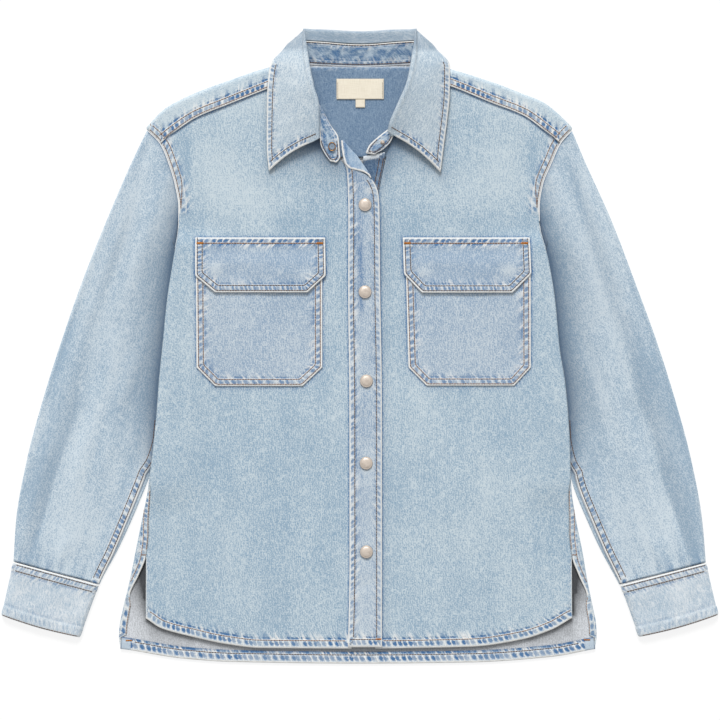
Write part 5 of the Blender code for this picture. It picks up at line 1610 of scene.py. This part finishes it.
def makeStand():
    ends = [np.array(pair, float) for pair in standLeftEnd]
    middle = [np.array([s[0], s[1]], float) for s in collarSections()]
    other = [np.array(pair, float) for pair in standRightEnd]
    rows = np.array(ends + middle + other)
    at = runLengths(rows.mean(axis=1))
    stations = np.linspace(0, at[-1], 300)
    fine = smooth(at, rows.reshape(len(rows), -1), stations).reshape(300, 2, 3)
    tall = np.linalg.norm(fine[:, 1] - fine[:, 0], axis=1)
    share = np.linspace(0, 1, 20) * (1 - 2 * cloth["seamGap"] / tall)[:, None]
    grid = fine[:, :1] + (fine[:, 1:] - fine[:, :1]) * share[..., None]
    up = share * tall[:, None]
    along = np.repeat(stations[:, None], 20, 1)
    marks = freshMarks(grid.shape[:2])
    end = np.minimum(along, at[-1] - along)
    atNeck = ease((end - 60) / 12)
    sewEdge(marks, up, along, {**standSeam, "seed": 121, "where": atNeck, "bare": 4.0})
    sewEdge(marks, up, along, {**standSeam, "seed": 121, "where": 1 - atNeck, "rows": ()})
    sewEdge(marks, tall[:, None] - up, along, {**standSeam, "seed": 123, "band": 4.0})
    sewEdge(marks, end, up, {
        "band": 4.0, "rows": (), "seed": 125, "rise": 0.1, "rope": 0.3, "pucker": 0.3, "wear": 1.2,
        "thin": 0.75})
    marks["indigoAndShadow"] += 0.95 * atNeck * bell(up, 1.3)
    fromRight = at[-1] - along
    turned = ease((46 - fromRight) / 16) * ease(fromRight / 6) * ease((share - 0.3) / 0.4)
    marks["fade"] += 0.9 * ease((40 - fromRight) / 12)
    marks["indigoAndShadow"] += 0.4 * turned * (0.5 + 0.5 * np.sin(up * 2.1))
    marks["height"] += 0.3 * (softNoise(along / 16, up / 30, 127) + 0.5) * ease(up / 3)
    marks["fade"] += 1.5 * softNoise(along / 5.5, up / 3.4, 128) + 0.15
    marks["indigoAndShadow"] += 0.5 * ease((softNoise(along / 5, up / 3.2, 129) - 0.05) / 0.5)
    grain = surfaceGrain(grid, 130, swap=True)
    return shell("standShell", grid, cloth["doubled"], marks, grain, bothFaces=True), fine


# snaps
snapPlaces = [(6.0, 169.0), (6.0, 64.6), (7.7, -42.2), (7.4, -140.6), (7.7, -246.8)]
snapTurning = {    # the cap's outline from its foot to its crown
    "r": [6.9, 7.55, 7.75, 7.6, 7.2, 6.8, 6.5, 6.1, 5.2, 3.7, 1.9, 0.0],
    "z": [0.0, 0.1, 0.8, 1.6, 2.0, 2.05, 1.98, 2.1, 2.5, 2.85, 3.0, 3.04],
    "rim": [1.0, 1.0, 0.85, 0.4, 0.1, 0.15, 0.25, 0.15, 0.05, 0.0, 0.0, 0.0]}
socketTurning = {
    "r": [4.9, 5.2, 5.3, 5.1, 4.8, 4.5, 4.3, 4.2, 4.1, 4.0],
    "z": [0.0, 0.3, 0.8, 1.3, 1.45, 1.35, 1.1, 0.7, 0.3, 0.0],
    "rim": [0.6, 0.2, 0.0, 0.0, 0.0, 0.1, 0.4, 0.8, 1.0, 1.0]}
socketFloor = {"r": [4.2, 3.2, 1.6, 0.0], "z": [0.25, 0.5, 0.4, 0.3], "rim": [1.0, 0.4, 0.3, 0.8]}
studTurning = {
    "r": [3.5, 3.8, 3.75, 3.2, 2.3, 2.1, 2.15, 2.4, 2.3, 1.6, 0.0],
    "z": [0.0, 0.15, 0.55, 0.85, 1.0, 1.5, 2.1, 2.5, 2.9, 3.2, 3.3],
    "rim": [0.5, 0.3, 0.1, 0.4, 0.8, 0.7, 0.3, 0.0, 0.0, 0.0, 0.0]}


def turnPiece(name, table, centre, tilt=0.0, ring=False, scale=(1, 1)):
    # a turned piece with a closed foot, or a ring where it has a hole
    r, z = np.array(table["r"], float), np.array(table["z"], float)
    at = runLengths(pathOf(r, z))
    stops = np.linspace(0, at[-1], 34)
    r, z, rim = (smooth(at, np.array(table[key], float), stops) for key in ("r", "z", "rim"))
    r = np.maximum(r, 0.04)
    sides = 72
    angle = np.linspace(0, 2 * np.pi, sides, endpoint=False)
    verts = np.stack([np.outer(r, np.cos(angle)) * scale[0], np.outer(r, np.sin(angle)) * scale[1],
                      np.repeat(z[:, None], sides, 1)], -1).reshape(-1, 3)
    i, j = np.meshgrid(np.arange(len(r) - 1), np.arange(sides), indexing="ij")
    i, j, k = i.ravel(), j.ravel(), ((j + 1) % sides).ravel()
    faces = np.stack([i * sides + j, i * sides + k, (i + 1) * sides + k, (i + 1) * sides + j], 1).tolist()
    if ring:
        last = (len(r) - 1) * sides
        faces += [[(j + 1) % sides, j, last + j, last + (j + 1) % sides] for j in range(sides)]
    else:
        faces += [list(range(sides))[::-1], list(range((len(r) - 1) * sides, len(r) * sides))]
    mesh = bpy.data.meshes.new(name)
    spin = np.array(Matrix.Rotation(-np.radians(tilt), 3, "Y"))
    verts = verts @ spin.T + np.array(centre)
    mesh.from_pydata((verts * mm).tolist(), [], faces)
    made = mesh.attributes.new("rim", "FLOAT", "POINT")
    made.data.foreach_set("value", np.repeat(rim, sides).astype(np.float32))
    mesh.validate()
    mesh.shade_smooth()
    return addObject(name, mesh)


# label and size tab, both bare
labelPlace = {"left": -28.2, "right": 28.6, "foot": 295.7, "head": 320.2, "wall": 0.8}
tabPlace = {"left": -5.3, "right": 6.0, "foot": 285.8, "head": 295.4, "wall": 0.8}


def makeLabel(name, place, lift, seed):
    ys = np.linspace(place["head"], place["foot"], 40)
    xs = np.linspace(place["left"], place["right"], 70)
    x, y = np.meshgrid(xs, ys)
    z = 2 * cloth["wall"] + 2 * cloth["seamGap"] + place["wall"] + lift
    z = z + 0.3 * (softNoise(x / 14, y / 16, seed) + 0.8)
    marks = freshMarks(x.shape)
    border = np.min([x - place["left"], place["right"] - x, y - place["foot"], place["head"] - y], axis=0)
    marks["edge"] = border / 4.0
    marks["height"] -= 0.25 * (1 - ease(border / 0.9))
    grid, grain = np.stack([x, y, z], -1), planGrain(x, y, 0, 140)
    return shell(name, grid, place["wall"] * 0.8, marks, grain, bothFaces=True)


# putting it together
def sidesOf(make):
    return {side: make(side) for side in signs}


backShell, backGrid = makeBack()
hemFoldShell, _ = makeHemFold()
fronts = sidesOf(makeFront)
print("body shells made")
pockets, flaps = sidesOf(makePocket), sidesOf(makeFlap)
placketShell, turnShell, beneathShell = makePlacket(), makeTurnback(), makeBandBeneath()
yokeShell, facingShell = makeYoke(), makeYokeFacing()
sleeves, cuffs = sidesOf(makeSleeve), sidesOf(makeCuff)
print("sleeves, pockets and yoke made")
collarShell, collarProfiles = makeCollar()
standShell, standRows = makeStand()
labelShell = makeLabel("labelShell", labelPlace, 0.3, 131)
tabShell = makeLabel("sizeTabShell", tabPlace, 0.2, 133)
print("collar and label made")

# sewing, laid on the finished shells
backSewing, yokeSewing, collarSewing, flapTops, tacks, ventTacks = (Sewing() for _ in range(6))
backTree, hemTree = treeOf(backShell), treeOf(hemFoldShell)
for end, sign in ((0, -1), (-1, 1)):
    edgePath = backGrid[:, end, :2]
    for inset, head, foot in ((1.0, -170, -250), (5.9, -170, -284), (1.0, -300, -348)):
        part = edgePath[(edgePath[:, 1] < head) & (edgePath[:, 1] > foot)]
        backSewing.row(part + np.array([-sign * inset, 0]), backTree)
backSewing.row(hemPath(backHem, -280, 275, 9.4), backTree, below=True)
backThreads = backSewing.build("backThreads", paleThread)
hemThreads = sewRows("hemThreads", tanThread, hemTree, [hemPath(backHem, -272, 267, 10.4)])
for x, y in ((-277.0, -353.4), (272.4, -352.6)):
    tacks.bartack((x, y), hemTree, 7.0, 1.7)
for x in (-258.6, 256.8):
    ventTacks.bartack((x, -250.6), backTree, 6.0, 1.2)

frontThreads, pocketThreads, flapThreads, sleeveThreads, cuffThreads = {}, {}, {}, {}, {}
drawnIn = ease(np.linspace(-1.2, 1.0, 50))      # the armhole's far row runs in to its near row
for side, low, high in (("left", -257, -15), ("right", 28, 257)):
    near = armholeSeam["rows"][0]
    paths = [armholePath(side, 243, 163, inset - (inset - near) * drawnIn) for inset in armholeSeam["rows"]]
    paths.append(hemPath(frontHem, low, high, frontHemSeam["rows"][0]))
    frontThreads[side] = sewRows("front" + side.title() + "Threads", warmThread, treeOf(fronts[side]), paths)

for side in signs:
    shape = outline(pocketShape[side])
    shape[[0, -1], 1] = 81      # the rows stop under the flap
    paths = [offsetPath(shape, inset) for inset in pocketSeam["rows"]]
    name = side.title() + "Threads"
    pocketThreads[side] = sewRows("pocket" + name, warmThread, treeOf(pockets[side]), paths)
    shape, tree = outline(flapShape[side]), treeOf(flaps[side])
    paths = [offsetPath(shape, inset) for inset in flapSeam["rows"]]
    flapThreads[side] = sewRows("flap" + name, tanThread, tree, paths)
    low, high = shape[0] + (1.5, -6.9), shape[-1] + (-1.5, -6.9)
    flapTops.row(np.array([low, high]), tree)
    tacks.bartack(low + (4.5, 0), tree, 8.0, 2.7)
    tacks.bartack(high - (4.5, 0), tree, 8.0, 2.7)
flapTops.build("flapTopThreads", amberThread)

placketTree = treeOf(placketShell)
paths = []
for name, sign, head in (("left", 1, 214), ("right", -1, 199)):
    ys = np.linspace(head, -352, 120)
    paths.append(pathOf(look(bandShape, name, ys) + sign * bandSeam["rows"][0], ys))
paths.append([(-12, -351.8), (24, -351.8)])
placketThreads = sewRows("placketThreads", tanThread, placketTree, paths)
tacks.bartack((22.5, -351.5), placketTree, 6.0, 2.0)
ys = np.linspace(225, 165, 20)
paths = [pathOf(straight(beneathShape, "right", ys) - inset, ys) for inset in (1.8, 6.6)]
beneathThreads = sewRows("beneathThreads", tanThread, treeOf(beneathShell), paths)

yokeTree = treeOf(yokeShell)
for side, sign in signs.items():
    seam = yokePath(side, 74, 236, 60)
    for inset in yokeSeam["rows"]:
        yokeSewing.row(offsetPath(seam, inset * sign), yokeTree)
        yokeSewing.row(armholePath(side, 270, 236, inset), yokeTree)
for inset in doubleRows["rows"]:
    y = cloth["yokeSeamY"] + inset
    yokeSewing.row([(-222, y), (222, y)], yokeTree, below=True)
yokeThreads = yokeSewing.build("yokeThreads", warmThread)

for side, sign in signs.items():
    ys = np.linspace(-90, -283, 60)
    fold = pathOf(sign * sleeveInner(side, ys), ys)
    paths = [offsetPath(fold, (inset + look(underarmIn, side, ys)) * sign) for inset in underarmSeam["rows"]]
    name = side.title() + "Threads"
    sleeveThreads[side] = sewRows("sleeve" + name, tanThread, treeOf(sleeves[side]), paths)
    share = np.linspace(0.012, 0.988, 30)
    paths = []
    for down in (*cuffTopSeam["rows"], cuffCloth["deep"] - cuffFootSeam["rows"][0]):
        outer, inner, bow = cuffEnds(side, down / cuffCloth["deep"])
        paths.append(outer + (inner - outer) * share[:, None] + bow * np.sin(np.pi * share)[:, None])
    cuffThreads[side] = sewRows("cuff" + name, tanThread, treeOf(cuffs[side]), paths)

collarTree = treeOf(collarShell)
inset = collarSeam["rows"][0]
rowPoints = []
for profile in collarProfiles:
    lengths = runLengths(profile)
    rowPoints.append([np.interp(lengths[-1] - inset, lengths, profile[:, k]) for k in range(3)])
rowPoints = np.array(rowPoints)
at = runLengths(rowPoints)
fromTip = np.minimum(at, at[-1] - at)
leafTop = (rowPoints[:, 1] < 341) & (fromTip > 7.5)
for half in (slice(0, len(at) // 2), slice(len(at) // 2, len(at))):
    collarSewing.row(rowPoints[half][leafTop[half]][:, :2], collarTree)
collarSewing.row(rowPoints[rowPoints[:, 1] > 350][:, :2], collarTree, below=True)
for end, sign in ((0, -1), (-1, 1)):
    front = collarProfiles[end][5:, :2]
    back = front[0] - front[1]
    front = np.concatenate([[front[0] + back / np.hypot(*back) * 3.4], front])
    path = offsetPath(resample(front, 3.0), inset * sign)
    collarSewing.row(path[runLengths(path) < runLengths(path)[-1] - 8.5], collarTree)
collarThreads = collarSewing.build("collarThreads", tanThread)

standEnds = [
    [(-46.4, 246), (-45.6, 241.5), (-41, 232.5), (-35.4, 224.2), (-30.2, 222.6), (-26.4, 227), (-26.8, 238),
     (-28, 247)],
    [(37.6, 251), (34.4, 245), (26.6, 238.2), (18.4, 232), (9.8, 232.8), (13.2, 239.4), (21.8, 248.4)]]
seamSide, rise = standRows[:, 0], standRows[:, 1] - standRows[:, 0]
tall = np.linalg.norm(rise, axis=1)
paths = []
for share in (1.8 / tall, 1 - 2.0 / tall):
    points = seamSide + rise * share[:, None]
    paths.append(points[(np.abs(points[:, 0]) < 66) & (points[:, 1] > 325)][:, :2])
standThreads = sewRows("standThreads", tanThread, treeOf(standShell), paths + standEnds)
tacks.build("bartacks", orangeThread, 0.5)
ventTacks.build("ventBartacks", amberThread, 0.34)
foot, head = labelPlace["foot"] + 1.2, labelPlace["head"] - 1.2
paths = [[(x, foot), (x, head)] for x in (labelPlace["left"] + 1.6, labelPlace["right"] - 1.6)]
labelThreads = sewRows("labelThreads", tanThread, treeOf(labelShell), paths, 0.22)
print("sewing laid")

# each shell stands for its solid
dressed(backShell, "back", insideDenim)
dressed(hemFoldShell, None, hemDenim)
for side in signs:
    dressed(fronts[side], "front_" + side, bodyDenim)
    dressed(pockets[side], "pocket_" + side, trimDenim)
    dressed(flaps[side], "flap_" + side, trimDenim)
    dressed(sleeves[side], "sleeve_" + side, sleeveDenim)
    dressed(cuffs[side], "cuff_" + side, cuffDenim)
dressed(placketShell, "placket_top", trimDenim)
dressed(turnShell, "placket_turnback", turnedDenim)
dressed(beneathShell, "placket_under", bandBeneath)
dressed(yokeShell, "yoke_outer", bodyDenim)
dressed(facingShell, "yoke_inner", yokeFacing)
dressed(collarShell, "collar", collarDenim)
dressed(standShell, "collar_stand", standDenim)
dressed(labelShell, "label", labelSatin)
dressed(tabShell, "size_tab", labelSatin)

for number, (x, y) in enumerate(snapPlaces, 1):
    seat = []
    for a in np.linspace(0, 2 * np.pi, 9):
        start = Vector(((x + 6 * np.cos(a)) * mm, (y + 6 * np.sin(a)) * mm, 0.08))
        point = placketTree.ray_cast(start, Vector((0, 0, -1)))[0]
        if point:
            seat.append(point.z)
    piece = turnPiece(f"snapCap{number}", snapTurning, (x, y, np.mean(seat) / mm + 0.05))
    finishPiece(piece, f"snap_{number}", snapMetal)
socketAt, studAt = (-33.4, 238.6, 10.2), (27.0, 243.6, 9.7)
ring = turnPiece("standSocketRing", socketTurning, socketAt, 6.5, ring=True, scale=(0.86, 1.02))
finishPiece(ring, "stand_socket", socketBrass)
finishPiece(turnPiece("standSocketFloor", socketFloor, socketAt, 6.5), None, socketPaint)
post = turnPiece("standStudPost", studTurning, studAt, -9.0, scale=(0.72, 0.66))
finishPiece(post, "stand_stud", snapMetal)
print("snaps set")


# floor, light and camera
studio = {
    "floor": 5.0, "floorLow": -0.0006, "floorTone": (128, 128, 128), "floorGlow": 0.8, "keyPower": 2.5,
    "keySoft": 20.0, "keyFrom": (-0.1, 1.0, 0.78), "sky": 0.48, "boxPower": 9.5, "boxSize": (1.6, 1.2),
    "boxAt": (-0.5, 1.2, 2.6),
    "lens": 200.0, "height": 4.8, "centre": (0.0, -0.017)}


def makeStudio():
    scene = bpy.context.scene
    mesh = bpy.data.meshes.new("studioFloor")
    half, low = studio["floor"], studio["floorLow"]
    corners = [(-half, -half, low), (half, -half, low), (half, half, low), (-half, half, low)]
    mesh.from_pydata(corners, [], [(0, 1, 2, 3)])
    material, _, shader = startMaterial("studioPaper", 0.9)
    shader.inputs["Base Color"].default_value = linear(*studio["floorTone"])
    shader.inputs["Specular IOR Level"].default_value = 0.0
    shader.inputs["Emission Color"].default_value = (1.0, 1.0, 1.0, 1.0)
    shader.inputs["Emission Strength"].default_value = studio["floorGlow"]
    mesh.materials.append(material)
    addObject("studioFloor", mesh)
    world = bpy.data.worlds.new("studioAir")
    world.use_nodes = True
    air = world.node_tree.nodes["Background"]
    air.inputs["Color"].default_value = (1.0, 1.0, 1.0, 1.0)
    air.inputs["Strength"].default_value = studio["sky"]
    scene.world = world
    key = bpy.data.lights.new("keyLight", "SUN")
    key.energy, key.angle = studio["keyPower"], np.radians(studio["keySoft"])
    keyObject = addObject("keyLight", key)
    box = bpy.data.lights.new("softBox", "AREA")
    box.shape, box.energy = "RECTANGLE", studio["boxPower"]
    box.size, box.size_y = studio["boxSize"]
    boxObject = addObject("softBox", box)
    boxObject.location = studio["boxAt"]
    for lamp, place in ((keyObject, studio["keyFrom"]), (boxObject, studio["boxAt"])):
        lamp.rotation_euler = Vector(place).to_track_quat("Z", "Y").to_euler()
    camera = bpy.data.cameras.new("camera")
    camera.lens = studio["lens"]
    scene.camera = addObject("camera", camera)
    scene.camera.location = (*studio["centre"], studio["height"])
    scene.view_settings.view_transform = "Standard"


makeStudio()
print("studio set")
